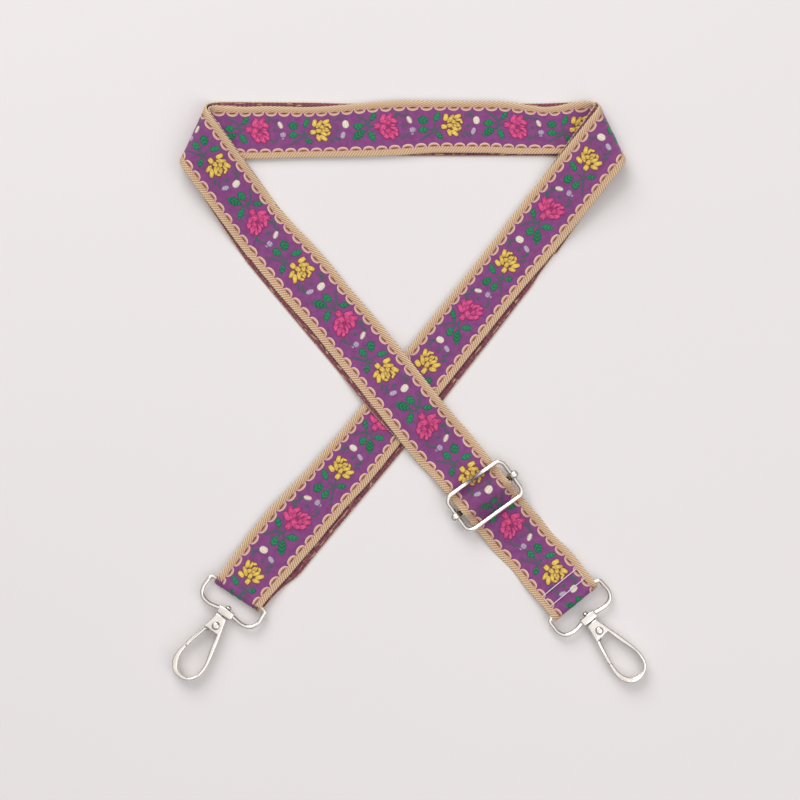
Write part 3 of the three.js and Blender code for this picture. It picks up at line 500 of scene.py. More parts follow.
def make_mesh(name, points, quads, maps=None, finish=None, materials=(), closed=True, flat=False):
    """A mesh object at the origin from points in millimetres and quads. Maps are UV maps of values at the
    points. A closed body with a negative signed volume is turned outwards."""
    points = points.reshape(-1, 3) * MM
    quads = quads.reshape(-1, 4)
    if closed:
        a, b, c, d = (points[quads[:, k]] for k in range(4))
        volume = np.sum(a * np.cross(b, c)) + np.sum(a * np.cross(c, d))
        quads = quads[:, ::-1] if volume < 0 else quads
    mesh = bpy.data.meshes.new(name)
    mesh.vertices.add(len(points))
    mesh.vertices.foreach_set("co", points.astype(np.float32).ravel())
    mesh.loops.add(quads.size)
    mesh.loops.foreach_set("vertex_index", quads.astype(np.int32).ravel())
    mesh.polygons.add(len(quads))
    mesh.polygons.foreach_set("loop_start", np.arange(0, quads.size, 4, dtype=np.int32))
    mesh.polygons.foreach_set("loop_total", np.full(len(quads), 4, np.int32))
    for label, values in (maps or {}).items():
        layer = mesh.uv_layers.new(name=label)
        layer.data.foreach_set("uv", values.reshape(-1, 2)[quads.ravel()].astype(np.float32).ravel())
    for material in materials:
        mesh.materials.append(material)
    if finish is not None:
        mesh.polygons.foreach_set("material_index", finish.astype(np.int32).ravel())
    mesh.polygons.foreach_set("use_smooth", np.full(len(quads), not flat))
    mesh.update(calc_edges=True)
    mesh.validate()
    made = bpy.data.objects.new(name, mesh)
    bpy.context.scene.collection.objects.link(made)
    return made


def grid_quads(rows, columns, wrap_columns=False):
    """Quads of a grid of points, row after row; wrapped columns join each row's last point to its first."""
    row = np.arange(rows - 1)[:, None]
    column = np.arange(columns if wrap_columns else columns - 1)[None, :]
    next_column = (column + 1) % columns
    here, ahead = row * columns, (row + 1) * columns
    corners = [here + column, ahead + column, ahead + next_column, here + next_column]
    return np.stack(corners, axis=-1).reshape(-1, 4)


def end_caps(rows, columns):
    """Quads over the two open ends of a tube: each joins the end's points pairwise across, side to side."""
    side = np.arange(columns // 2 - 1)
    cap = np.stack([side, side + 1, columns - 2 - side, columns - 1 - side], axis=-1)
    return np.concatenate([cap, cap[:, ::-1] + (rows - 1) * columns])


# ---- materials


def srgb(red, green, blue):
    """Linear colour of a screen colour, 0 to 255."""
    screen = np.array([red, green, blue]) / 255
    linear = np.where(screen < 0.04, screen / 12.92, ((screen + 0.055) / 1.055) ** 2.4)
    return (*linear.tolist(), 1.0)


class Board:
    """Adds nodes to a tree. A socket is given a number, a colour or another node's socket."""

    def __init__(self, tree):
        self.tree = tree

    def fill(self, node, sockets):
        for key, value in sockets.items():
            if isinstance(value, bpy.types.NodeSocket):
                self.tree.links.new(value, node.inputs[key])
            else:
                node.inputs[key].default_value = value

    def add(self, kind, sockets, **settings):
        node = self.tree.nodes.new(kind)
        for key, value in settings.items():
            setattr(node, key, value)
        self.fill(node, sockets)
        return node.outputs

    def calc(self, operation, first, second=0.0, third=0.0):
        return self.add("ShaderNodeMath", {0: first, 1: second, 2: third}, operation=operation)[0]

    def plus(self, first, second):
        return self.calc("ADD", first, second)

    def times(self, first, second):
        return self.calc("MULTIPLY", first, second)

    def times_plus(self, first, second, third):
        return self.calc("MULTIPLY_ADD", first, second, third)

    def wave(self, turns):
        """The sine of a number of whole turns."""
        return self.calc("SINE", self.times(turns, 2 * np.pi))

    def blend(self, share, first, second):
        return self.add("ShaderNodeMix", {0: share, 6: first, 7: second}, data_type="RGBA")[2]

    def noise(self, vector, scale, detail=2.0):
        return self.add("ShaderNodeTexNoise", {"Vector": vector, "Scale": scale, "Detail": detail})["Fac"]

    def span(self, value, low, high, to_low=0.0, to_high=1.0):
        sockets = {0: value, 1: low, 2: high, 3: to_low, 4: to_high}
        return self.add("ShaderNodeMapRange", sockets, clamp=True)[0]

    def uv(self, name):
        return self.add("ShaderNodeUVMap", {}, uv_map=name)[0]

    def object_place(self):
        return self.add("ShaderNodeTexCoord", {})["Object"]

    def parts(self, vector):
        return self.add("ShaderNodeSeparateXYZ", {0: vector})[:]

    def stretched(self, vector, scale):
        return self.add("ShaderNodeMapping", {"Vector": vector, "Scale": scale})[0]


def node_group(name, inputs, outputs):
    """An empty node group with named sockets, each a colour or a number as its value is: its board, the
    sockets given to it and the node that takes what it makes."""
    tree = bpy.data.node_groups.new(name, "ShaderNodeTree")
    for in_out, sockets in (("INPUT", inputs), ("OUTPUT", outputs)):
        for label, value in sockets.items():
            kind = "NodeSocketColor" if isinstance(value, tuple) else "NodeSocketFloat"
            tree.interface.new_socket(label, in_out=in_out, socket_type=kind).default_value = value
    board = Board(tree)
    return board, board.add("NodeGroupInput", {}), tree.nodes.new("NodeGroupOutput")


GREY = (0.5, 0.5, 0.5, 1.0)


def make_weave_group():
    """Weave on the cloth map in millimetres. The height is a sine of the threads along plus 0.6 of a sine
    of the threads across, both wandering a little with a noise; low and noisy places take the shade."""
    board, given, made = node_group(
        "woven_threads",
        {
            "Colour": GREY, "Shade": GREY, "Along per mm": 2.0, "Across per mm": 2.0, "Slant": 0.0,
            "Wander": 0.5,
        },
        {"Colour": GREY, "Height": 0.0},
    )
    cloth = board.uv("cloth")
    u, w, _ = board.parts(cloth)
    wander = board.times(board.noise(cloth, 0.9), given["Wander"])
    leaning = board.plus(u, board.times(w, given["Slant"]))
    along = board.plus(board.times(leaning, given["Along per mm"]), wander)
    across = board.plus(board.times(w, given["Across per mm"]), wander)
    height = board.times_plus(board.plus(board.wave(along), board.times(board.wave(across), 0.6)), 0.31, 0.5)
    dark = board.times_plus(height, -0.55, board.times(board.noise(cloth, 0.35, 4.0), 0.9))
    colour = board.blend(board.span(dark, -0.15, 0.6), given["Colour"], given["Shade"])
    board.fill(made, {"Colour": colour, "Height": height})
    return board.tree


WEAVE = make_weave_group()


def material_of(name):
    """A new material, its board and its Principled shader."""
    material = bpy.data.materials.new(name)
    material.use_nodes = True
    return material, Board(material.node_tree), material.node_tree.nodes["Principled BSDF"]


def weave_in(board, colour, shade, along, across, slant=0.0, wander=0.5):
    sockets = {"Colour": srgb(*colour), "Shade": srgb(*shade), "Along per mm": along, "Across per mm": across}
    return board.add("ShaderNodeGroup", {**sockets, "Slant": slant, "Wander": wander}, node_tree=WEAVE)


def finish_cloth(board, shader, colour, height, strength=0.5, relief=0.15, rough=0.85, sheen=0.25):
    """Cloth: the colour and the bump vary over it; roughness and sheen are even."""
    bump = board.add("ShaderNodeBump", {"Height": height, "Strength": strength, "Distance": relief * MM})[0]
    board.fill(shader, {
        "Base Color": colour,
        "Normal": bump,
        "Roughness": rough,
        "Sheen Weight": sheen,
        "Sheen Roughness": 0.5,
        "Specular IOR Level": 0.25,
    })


def cloth_finish(name, colour, shade, along, across, slant=0.0):
    material, board, shader = material_of(name)
    woven = weave_in(board, colour, shade, along, across, slant)
    finish_cloth(board, shader, woven["Colour"], woven["Height"])
    return material


def back_finish(name):
    """Back of the webbing: maroon floats lengthways, broken on rows across it by short tan dashes and by
    short dark dashes of painted shadow."""
    material, board, shader = material_of(name)
    woven = weave_in(board, (144, 82, 98), (104, 52, 66), along=0.5, across=1.35, wander=0.8)
    cloth = board.uv("cloth")
    tan = board.span(board.noise(board.stretched(cloth, (0.22, 1.25, 1.0)), 1.0, 1.0), 0.6, 0.64)
    # dark: short dashes of painted shadow for the shaded gaps in the weave
    dark = board.span(board.noise(board.stretched(cloth, (0.26, 1.5, 2.0)), 1.3, 1.0), 0.62, 0.66)
    colour = board.blend(tan, woven["Colour"], srgb(196, 158, 122))
    colour = board.blend(board.times(dark, 0.7), colour, srgb(72, 44, 52))
    finish_cloth(board, shader, colour, board.plus(woven["Height"], tan))
    return material


WOVEN_CELL = (0.5, 0.34, 1.0)


def thread_finish(name, colour, edge, shade, rim, strands=(0.0, 1.9), depth=0.5, open_from=0.0):
    """Raised thread. Strands gives its turns per millimetre along and across the shape's own map. Low strands
    darken the colour towards its shade, as does the tone of the whole shape. The edge colour fills the rim,
    which a noise that is even within each woven cell makes ragged, and shows in cells whose noise passes
    open_from."""
    material, board, shader = material_of(name)
    cell = board.add("ShaderNodeVectorMath", {0: board.uv("cloth"), 1: WOVEN_CELL}, operation="SNAP")[0]
    stray = board.add("ShaderNodeTexWhiteNoise", {"Vector": cell})["Value"]
    along, side, _ = board.parts(board.uv("shape"))
    distance, tone, _ = board.parts(board.uv("rim"))
    across = board.times(board.calc("ABSOLUTE", side), strands[1])
    strand = board.wave(board.times_plus(along, strands[0], across))
    height = board.times_plus(strand, 0.4, board.times_plus(stray, 0.25, 0.4))
    dark = board.times_plus(tone, 0.45, board.times_plus(height, -depth, depth * 0.7))
    woven = board.blend(board.span(dark, 0.0, 1.0), srgb(*colour), srgb(*shade))
    outline = board.span(board.times_plus(stray, -0.2, distance), rim * 0.25, rim * 0.75, 1.0, 0.0)
    if open_from:
        outline = board.calc("MAXIMUM", outline, board.span(stray, open_from, open_from + 0.02, 1.0, 0.0))
    shown = board.blend(outline, woven, srgb(*edge))
    finish_cloth(board, shader, shown, height, relief=0.14, rough=0.7, sheen=0.3)
    return material


GROUND, BACK = range(2)
CLOTH = [
    cloth_finish("purple_ground", (149, 79, 139), (110, 56, 108), along=1.55, across=1.9, slant=0.5),
    back_finish("maroon_back"),
]
VEINED = (0.6, -0.55)
PETAL = (0.4, 0.75)
LENGTHWAYS = (1.0, 0.0)
# Shape: name, thread, edge, shade, breadth of the rim, strands, depth of the strands and where cells open
THREADS = {shape: thread_finish(*look) for shape, look in {
    "yellow": ("yellow_thread", (240, 208, 98), (116, 64, 62), (182, 138, 62), 0.7, PETAL, 0.7),
    "pink": ("pink_thread", (230, 86, 144), (138, 42, 96), (158, 42, 98), 0.75, PETAL, 0.75),
    "maroon": ("maroon_thread", (118, 68, 66), (118, 68, 66), (140, 100, 62), 0.1),
    "deep_pink": ("deep_pink_thread", (160, 44, 98), (150, 42, 96), (132, 36, 88), 0.1),
    "green": ("green_thread", (36, 138, 88), (42, 78, 78), (22, 84, 66), 0.34, VEINED, 0.9),
    "vine": ("vine_thread", (46, 104, 84), (112, 70, 112), (62, 84, 90), 0.2, LENGTHWAYS, 0.6, 0.42),
    "white": ("white_thread", (236, 226, 208), (152, 118, 140), (190, 170, 158), 0.4, (0.0, 1.2), 0.9),
    "lilac": ("lilac_thread", (190, 176, 196), (130, 92, 134), (146, 122, 156), 0.4, LENGTHWAYS, 0.9),
    "scallop": ("cream_thread", (198, 150, 126), (232, 196, 174), (186, 136, 114), 1.1, (1.4, 0.0)),
    "slit": ("brown_thread", (92, 54, 56), (110, 68, 68), (78, 46, 48), 0.1),
}.items()}


def make_metal_group():
    """Worn plating on Object coordinates: stretched fine noise raises the roughness in hairlines, and a
    coarse noise dulls the colour in soft patches."""
    board, given, made = node_group(
        "worn_plating",
        {"Colour": GREY, "Dull": GREY, "Rough": 0.2},
        {"Colour": GREY, "Roughness": 0.0, "Height": 0.0},
    )
    place = board.object_place()
    hair = board.noise(board.stretched(place, (3000.0, 400.0, 900.0)), 1.0, 3.0)
    dull = board.span(board.noise(place, 160.0, 3.0), 0.45, 0.75)
    colour = board.blend(board.times(dull, 0.6), given["Colour"], given["Dull"])
    rough = board.times_plus(dull, 0.08, board.times_plus(hair, 0.16, given["Rough"]))
    board.fill(made, {"Colour": colour, "Roughness": rough, "Height": hair})
    return board.tree


PLATING = make_metal_group()


def metal_finish(name, colour, dull, rough):
    material, board, shader = material_of(name)
    sockets = {"Colour": srgb(*colour), "Dull": srgb(*dull), "Rough": rough}
    plate = board.add("ShaderNodeGroup", sockets, node_tree=PLATING)
    bump = board.add("ShaderNodeBump", {"Height": plate["Height"], "Strength": 0.03, "Distance": 0.02 * MM})
    board.fill(shader, {
        "Base Color": plate["Colour"],
        "Roughness": plate["Roughness"],
        "Normal": bump[0],
        "Metallic": 1.0,
    })
    return material


FINISHES = {
    "nickel": metal_finish("nickel_plate", (242, 236, 230), (214, 206, 200), rough=0.16),
    "spring": metal_finish("spring_steel", (168, 168, 172), (120, 118, 122), rough=0.25),
    "thread": cloth_finish("sewing_thread", (238, 230, 238), (204, 192, 206), along=3.0, across=3.0),
}

# ---- webbing

ROPE_MIDDLE = 11.05
ROPE_HALF_WIDTH = 1.6
ROPE_HALF_HEIGHT = 0.58
CLOTH_HALF = 0.28
CLOTH_EDGE = 12.3
THIN_PLACE = 11.6
THIN_SHARE = 0.35
FULL_REACH = 10.4
FULL_POINTS = 13
ROPE_STEP = 0.2
ROPE_POINTS = 10
# Side of the cloth: the strands' pitch along the rope, and their lean, the step back along it per step across
STRANDS = {1: (1.95, 2.0), -1: (1.25, 0.7)}
STRAND_EASE = 8.0
HATCH_PITCH = 1.35


def first_of(owner_name):
    return int(np.argmax(LAY.owner == owner_name))


def on_left_leg(*places):
    """Points in metres at distances along the left leg's line, as high as the lowest ply."""
    return [tuple(MM * np.r_[LEFT_LEG.origin + LEFT_LEG.direction * place, REST_Z]) for place in places]


# The lay starts on the left leg beyond the slider: the crest is its first station that has passed the bar
CREST = int(np.argmax((LAY.middle[:, :2] - LEFT_LEG.origin) @ LEFT_LEG.direction < TO_SLIDER))
LEG_TOP = first_of("left_outer")
LEG_BELOW = first_of("lower_left")
FROM_SLIDER = ("slider_bar", "strap", *on_left_leg(81, 104))
TO_THE_SLIDER = ("strap", "slider_bar", *on_left_leg(16, 36))
SECTIONS = {
    "sewn_tail": (0, CREST, FROM_SLIDER),
    "front_leg": (CREST, LEG_TOP, TO_THE_SLIDER),
    "long_body": (LEG_TOP, LEG_BELOW, None),
    "back_leg": (LEG_BELOW, len(LAY.s) - 1, TO_THE_SLIDER),
}


def section_profile():
    """Across the cloth: the face from edge to edge at half thickness above the middle, then the back from
    edge to edge below it. The outer tenths thin to a third, inside the selvedge ropes."""
    full = np.linspace(-FULL_REACH, FULL_REACH, FULL_POINTS)
    w = np.r_[-CLOTH_EDGE, -THIN_PLACE, full, THIN_PLACE, CLOTH_EDGE]
    thick = CLOTH_HALF * np.where(np.abs(w) > FULL_REACH, THIN_SHARE, 1.0)
    return np.r_[w, w[::-1]], np.r_[thick, -thick[::-1]]


def cloth_piece(name, first, last):
    """The cloth of one section: the profile on every station, closed at both ends."""
    w, lift = section_profile()
    rows = slice(first, last + 1)
    share = w / HALF
    points = LAY.middle[rows, None] + LAY.half[rows, None] * share[:, None]
    points = points + LAY.normal[rows, None] * lift[:, None]
    u = LAY.s[rows, None] + share * LAY.slant[rows, None]
    count, columns = points.shape[:2]
    quads = np.concatenate([grid_quads(count, columns, wrap_columns=True), end_caps(count, columns)])
    cloth = np.stack([u, np.broadcast_to(w, u.shape)], axis=-1)
    face = np.tile(np.where(np.arange(columns) < columns // 2, GROUND, BACK), count - 1)
    finish = np.r_[face, np.full(len(quads) - len(face), BACK)]
    return make_mesh(name, points, quads, {"cloth": cloth}, finish, CLOTH)


def rope_piece(name, first, last):
    """The two selvedge ropes of one section. Each is an oval round a line, thicker between the grooves of
    its strands, and its rows are slanted as they are. The slant eases to none at the webbing's two ends."""
    low, high = LAY.s[first], LAY.s[last]
    count = int((high - low) / ROPE_STEP)
    along = np.linspace(low, high, count)[:, None]
    turn = (np.arange(ROPE_POINTS) / ROPE_POINTS * 2 * np.pi)[None, :]
    behind = np.sin(turn[0] + np.pi / ROPE_POINTS) < -0.5
    ease = smooth(np.minimum(along - LAY.s[0], LAY.s[-1] - along) / STRAND_EASE)
    caps = end_caps(count, ROPE_POINTS)
    body = np.concatenate([grid_quads(count, ROPE_POINTS, wrap_columns=True), caps])
    points, ribs, cloths, quads = [], [], [], []
    for side, (pitch, lean) in STRANDS.items():
        rib = np.abs(np.sin(np.pi * along / pitch))
        swell = 0.88 + 0.12 * np.sqrt(rib)
        w = side * (ROPE_MIDDLE + ROPE_HALF_WIDTH * swell * np.cos(turn))
        u = along - lean * (w - side * ROPE_MIDDLE) * ease
        points.append(on_webbing(u, w, ROPE_HALF_HEIGHT * swell * np.sin(turn)))
        ribs.append(np.stack(np.broadcast_arrays(np.cos(turn), rib), axis=-1))
        cloths.append(np.stack([u, w], axis=-1))
        quads.append(body[:, ::side] + (0 if side == 1 else count * ROPE_POINTS))
    finish = np.tile(np.r_[np.tile(behind, count - 1), np.zeros(len(caps), bool)], len(STRANDS))
    maps = {"rib": np.concatenate(ribs), "cloth": np.concatenate(cloths)}
    materials = [ROPE_CORD, CLOTH[BACK]]
    return make_mesh(name, np.concatenate(points), np.concatenate(quads), maps, finish, materials)


def rope_finish(name):
    """Tan cord, with painted shade darkening the grooves between its strands and a painted highlight paling
    its outer edge. Where w is below 0, faint lines cross it aslant."""
    material, board, shader = material_of(name)
    cloth = board.uv("cloth")
    u, w, _ = board.parts(cloth)
    outwards, rib, _ = board.parts(board.uv("rib"))
    hatch = board.calc("SINE", board.times(board.calc("SUBTRACT", u, w), 2 * np.pi / HATCH_PITCH))
    pick = board.times_plus(hatch, board.span(w, -0.1, 0.1, 0.16, 0.0), board.span(rib, 0.15, 0.85))
    grain = board.span(board.noise(cloth, 3.5, 3.0), 0.3, 0.7)
    tone = board.blend(grain, srgb(212, 176, 140), srgb(236, 206, 168))
    # painted highlight: the cord's outer edge is made paler
    outer = board.span(outwards, -0.1, 0.9)
    tone = board.blend(board.times(outer, 0.6), tone, srgb(246, 224, 186))
    # painted shade: the grooves between strands, and the faint cross lines, are darkened towards brown
    painted_groove_shade = board.times(board.calc("SUBTRACT", 1.0, pick), 0.85)
    colour = board.blend(painted_groove_shade, tone, srgb(156, 108, 84))
    finish_cloth(board, shader, colour, pick, strength=0.6, relief=0.2)
    return material


ROPE_CORD = rope_finish("tan_rope")

# ---- flowers

REPEAT = 59.1
PINK_AFTER = 28.4
# Where roses show along the left leg, the right leg and the top run: yellow and pink in turn
LEFT_ROSES = [105.2, 76.9, 47.0, 18.4, -13.1, -40.9, -71.9, -100.9, -131.4]
RIGHT_ROSES = [-134.7, -107.5, -76.3, -49.3, -19.3, 14.3, 42.4, 72.5, 104.7]
RUN_ROSES = [80.7, 52.3, 23.1, -5.7, -35.9, -63.3]

# Shapes of one repeat: (before the yellow rose, across, length, width, turn in degrees)
YELLOW = [
    (-2.84, 4.47, 3.22, 1.85, 80), (-0.67, 3.81, 4.45, 1.58, 54), (2.52, 4.96, 3.22, 1.79, 25),
    (0.62, 2.41, 1.98, 1.62, -35), (3.01, 3.32, 2.89, 1.02, 10), (4.22, 2.49, 2.06, 0.86, -62),
    (-0.95, 0.59, 2.47, 1.85, 8), (-3.54, -0.04, 2.47, 2.08, 0), (2.46, 1.42, 2.23, 0.92, -15),
    (2.84, 0.4, 2.31, 0.76, 4), (1.48, -0.98, 3.38, 1.42, -30), (3.56, -0.98, 1.98, 1.02, 50),
    (-1.16, -2.88, 3.38, 1.58, -72), (1.2, -3.07, 3.79, 1.75, -40), (1.25, 0.62, 1.49, 0.92, -40),
]
PINK = [
    (28.58, 4.78, 4.03, 2.03, 65), (31.39, 5.03, 4.22, 2.03, 50), (33.27, 3.38, 3.56, 1.88, -25),
    (30.83, 2.53, 3.0, 1.35, 18), (32.8, 1.41, 3.19, 0.86, -6), (33.18, 0.09, 3.09, 1.09, -12),
    (25.9, 1.41, 2.91, 2.59, 0), (28.58, 0.75, 2.44, 2.63, 80), (30.64, -1.13, 2.81, 1.88, 15),
    (28.21, -1.78, 3.75, 1.8, -60), (29.71, -3.56, 2.81, 1.88, -38), (32.89, -1.97, 3.75, 1.24, -10),
    (32.2, -3.6, 3.75, 1.95, -52), (34.34, -2.72, 2.06, 1.39, -55), (29.24, 3.15, 2.25, 1.39, 50),
    (34.3, -0.94, 1.88, 1.13, -30),
]
GREEN = [
    (-6.74, 4.73, 5.16, 2.44, 67), (-5.62, -4.41, 3.84, 2.4, -50), (17.16, 1.91, 4.69, 3.15, 8),
    (17.13, -2.34, 6.84, 3.47, 34), (24.27, 5.81, 4.41, 2.25, 57), (23.24, -3.09, 5.53, 2.59, -60),
    (46.3, 3.15, 4.9, 3.7, -18), (46.3, -1.35, 4.5, 3.0, 4),
]
BUDS = [
    (7.6, 0.56, 2.06, 1.58, 60), (37.49, 1.13, 1.97, 1.46, 70), (5.07, -4.22, 3.0, 1.39, -40),
    (7.98, -3.75, 2.44, 1.5, 10), (38.43, 5.78, 2.53, 1.43, 20), (34.39, 5.44, 2.25, 1.58, 60),
]
WHITE = [(11.45, 3.15, 4.22, 3.38, 100), (40.26, 3.47, 4.03, 2.4, -64)]
LILAC = [(10.04, -2.06, 3.84, 2.4, 72), (41.52, -1.22, 3.09, 2.81, 10), (41.43, -3.15, 1.69, 1.13, 10)]
VINES = [
    [(5.54, 4.97), (7.41, 6.0), (9.01, 7.31)],
    [(7.41, 5.91), (9.57, 5.72), (9.94, 3.56)],
    [(4.23, -3.38), (5.91, -4.97)],
    [(5.73, -2.25), (7.23, -3.56), (8.82, -4.5)],
    [
        (16.39, 7.22), (18.36, 5.91), (19.86, 4.97), (21.74, 3.38), (21.93, 1.13), (21.08, -0.56),
        (22.11, -1.5),
    ],
    [(21.74, 3.38), (23.05, 4.03)],
    [(19.49, -1.13), (21.08, -0.56)],
    [(19.68, 1.5), (21.74, 3.19)],
    [(21.93, 1.13), (24.55, 1.41)],
    [(33.74, 4.88), (34.86, 6.94), (36.74, 5.81), (38.61, 5.44)],
    [(34.86, -2.81), (36.74, -4.5), (38.61, -4.13), (39.93, -2.25)],
    [(44.4, -6.7), (47.2, -4.6), (49.7, -3.0), (51.7, -2.0), (54.0, -0.4)],
    [(48.6, -1.1), (51.7, -2.0)],
    [(51.1, 1.3), (51.3, -0.4), (51.7, -2.0)],
    [(51.7, -2.0), (52.5, -3.2)],
]
SCALLOPS = 10
SCALLOP_PITCH = REPEAT / SCALLOPS
SCALLOP_HALF = 2.9
SCALLOP_DEPTH = 2.2
SCALLOP_BASE = 9.85
UPPER_SCALLOP_SHIFT = -5.3
LOWER_SCALLOP_SHIFT = -2.25
SLIT_PLACE = 9.15
VINE_HALF_WIDTH = 0.68
SHAPE_ROWS = 9
SHAPE_COLUMNS = 5
T, V = np.meshgrid(np.linspace(-1, 1, SHAPE_ROWS), np.linspace(-1, 1, SHAPE_COLUMNS), indexing="ij")


def together(*kinds):
    """Lists of the same arrays joined one by one."""
    return [np.concatenate(parts) for parts in zip(*kinds)]


def leaf_shapes(table, fullness, dome, grow=0.0):
    """Shapes (n, 9, 5) of a, w, lift, rim, along and side: leaves round a middle (a, w) that narrow by (1 −
    t²)^fullness and are raised by a dome. Grow is added to length and width."""
    a, w, length, width, turn = np.array(table, float).T[:, :, None, None]
    length, width = length + grow, width + grow
    along = T * length / 2
    swell = np.broadcast_to((1 - T * T) ** fullness, along.shape)
    side = V * width / 2 * swell
    cosine, sine = np.cos(turn * DEG), np.sin(turn * DEG)
    rim = np.minimum((1 - np.abs(V)) * width / 2 * swell, (1 - np.abs(T)) * length / 2)
    lift = np.broadcast_to(dome * (1 - V * V) * (1 - T**4), along.shape)
    return [a + cosine * along - sine * side, w + sine * along + cosine * side, lift, rim, along, side]


def vine_shapes():
    """Shapes (n, 9, 5) of thin stems: nine points evenly along each line, a third narrower at its ends."""
    middles, reach = [], []
    for line in VINES:
        points = np.array(line)
        travelled = travelled_to(points)
        at = np.linspace(0, travelled[-1], SHAPE_ROWS)
        middles.append([np.interp(at, travelled, column) for column in points.T])
        reach.append(at)
    middles = np.array(middles)
    way = unit(np.gradient(middles, axis=2).transpose(0, 2, 1))
    broad = VINE_HALF_WIDTH * (1.1 - 0.35 * np.abs(T)) * V
    a = middles[:, 0, :, None] - way[:, :, 1, None] * broad
    w = middles[:, 1, :, None] + way[:, :, 0, None] * broad
    lift, rim = 0.08 * (1 - V * V) * (1 - 0.7 * T**8), (1 - np.abs(V)) * VINE_HALF_WIDTH
    others = [lift, rim, np.array(reach)[:, :, None], broad]
    return [a, w, *(np.broadcast_to(values, a.shape) for values in others)]


def scallop_shapes():
    """Half ovals along both selvedges, their straight sides outwards. The rim map is the distance from the
    round side."""
    a = np.arange(SCALLOPS)[:, None, None] * SCALLOP_PITCH + T * SCALLOP_HALF
    deep = SCALLOP_DEPTH * np.sqrt(1 - T * T)
    inward = (V + 1) / 2 * deep
    others = [0.18 * (1 - V**2) * (1 - T**4), deep - inward + 0.02, T * SCALLOP_HALF, inward]
    upper = [a + UPPER_SCALLOP_SHIFT, SCALLOP_BASE - inward, *others]
    lower = [a + LOWER_SCALLOP_SHIFT, inward - SCALLOP_BASE, *others]
    return together(*([np.broadcast_to(values, a.shape) for values in kind] for kind in (upper, lower)))


def slit_table():
    """The dark slit at the base of each scallop, a little aslant."""
    a = np.arange(SCALLOPS) * SCALLOP_PITCH
    upper = [(at, SLIT_PLACE, 3.4, 0.66, 5) for at in a + UPPER_SCALLOP_SHIFT]
    return upper + [(at, -SLIT_PLACE, 3.4, 0.6, 3) for at in a + LOWER_SCALLOP_SHIFT]


SHAPES = {
    "scallop": scallop_shapes(),
    "vine": together(vine_shapes(), leaf_shapes(BUDS, 0.8, 0.1, 0.4)),
    "green": leaf_shapes(GREEN, 0.8, 0.18, 0.4),
    "maroon": leaf_shapes([(0.3, 0.8, 7.0, 6.6, 0)], 0.5, 0.03),
    "deep_pink": leaf_shapes([(30.4, 0.7, 6.6, 7.2, 0)], 0.5, 0.03),
    "yellow": leaf_shapes(YELLOW, 0.38, 0.26, 1.0),
    "pink": leaf_shapes(PINK, 0.38, 0.26, 0.9),
    "white": leaf_shapes(WHITE, 0.42, 0.2),
    "lilac": leaf_shapes(LILAC, 0.42, 0.2),
    "slit": leaf_shapes(slit_table(), 0.5, 0.15),
}


def place_on(line, place, *owner_names):
    """Length s of the webbing where the named stretches pass a distance along a plan line, between the two
    turns at their farthest ends."""
    held = np.isin(LAY.owner, owner_names)
    at = (LAY.middle[held, :2] - line.origin) @ line.direction
    first, last = sorted((int(np.argmin(at)), int(np.argmax(at))))
    at, s = at[first:last + 1], LAY.s[held][first:last + 1]
    order = np.argsort(at)
    return np.interp(place, at[order], s[order])


FAR = 1000


def pattern_table():
    """Pairs (s, pattern length) at every rose that shows; roses alternate by 28.4 and 30.7 mm of pattern,
    and the hidden stretches between take the nearest whole number of repeats."""
    shown = [
        (LEFT_LEG, LEFT_ROSES, "upper_left", "left_outer"),
        (RIGHT_LEG, RIGHT_ROSES, "right_outer", "upper_right"),
        (TOP_RUN, RUN_ROSES, "right_inner", "upper_run", "left_inner"),
    ]
    s, pattern = np.empty(0), np.empty(0)
    for line, roses, *owner_names in shown:
        here = place_on(line, np.array(roses), *owner_names)
        count = np.arange(len(roses))
        ahead = (count // 2) * REPEAT + (count % 2) * PINK_AFTER
        if len(s):
            ahead = ahead + REPEAT * np.round((pattern[-1] + here[0] - s[-1]) / REPEAT)
        s, pattern = np.r_[s, here], np.r_[pattern, ahead]
    return [np.r_[values[0] - FAR, values, values[-1] + FAR] for values in (s, pattern)]


PATTERN_S, PATTERN_P = pattern_table()


END_MARGIN = 0.3
LEAST_HEIGHT = 0.02
SUNK = 0.02
KIND_STEP = 0.012
SHAPE_STEP = 0.008
SHAPE_STEPS = 5
TONE_STEP = 0.618


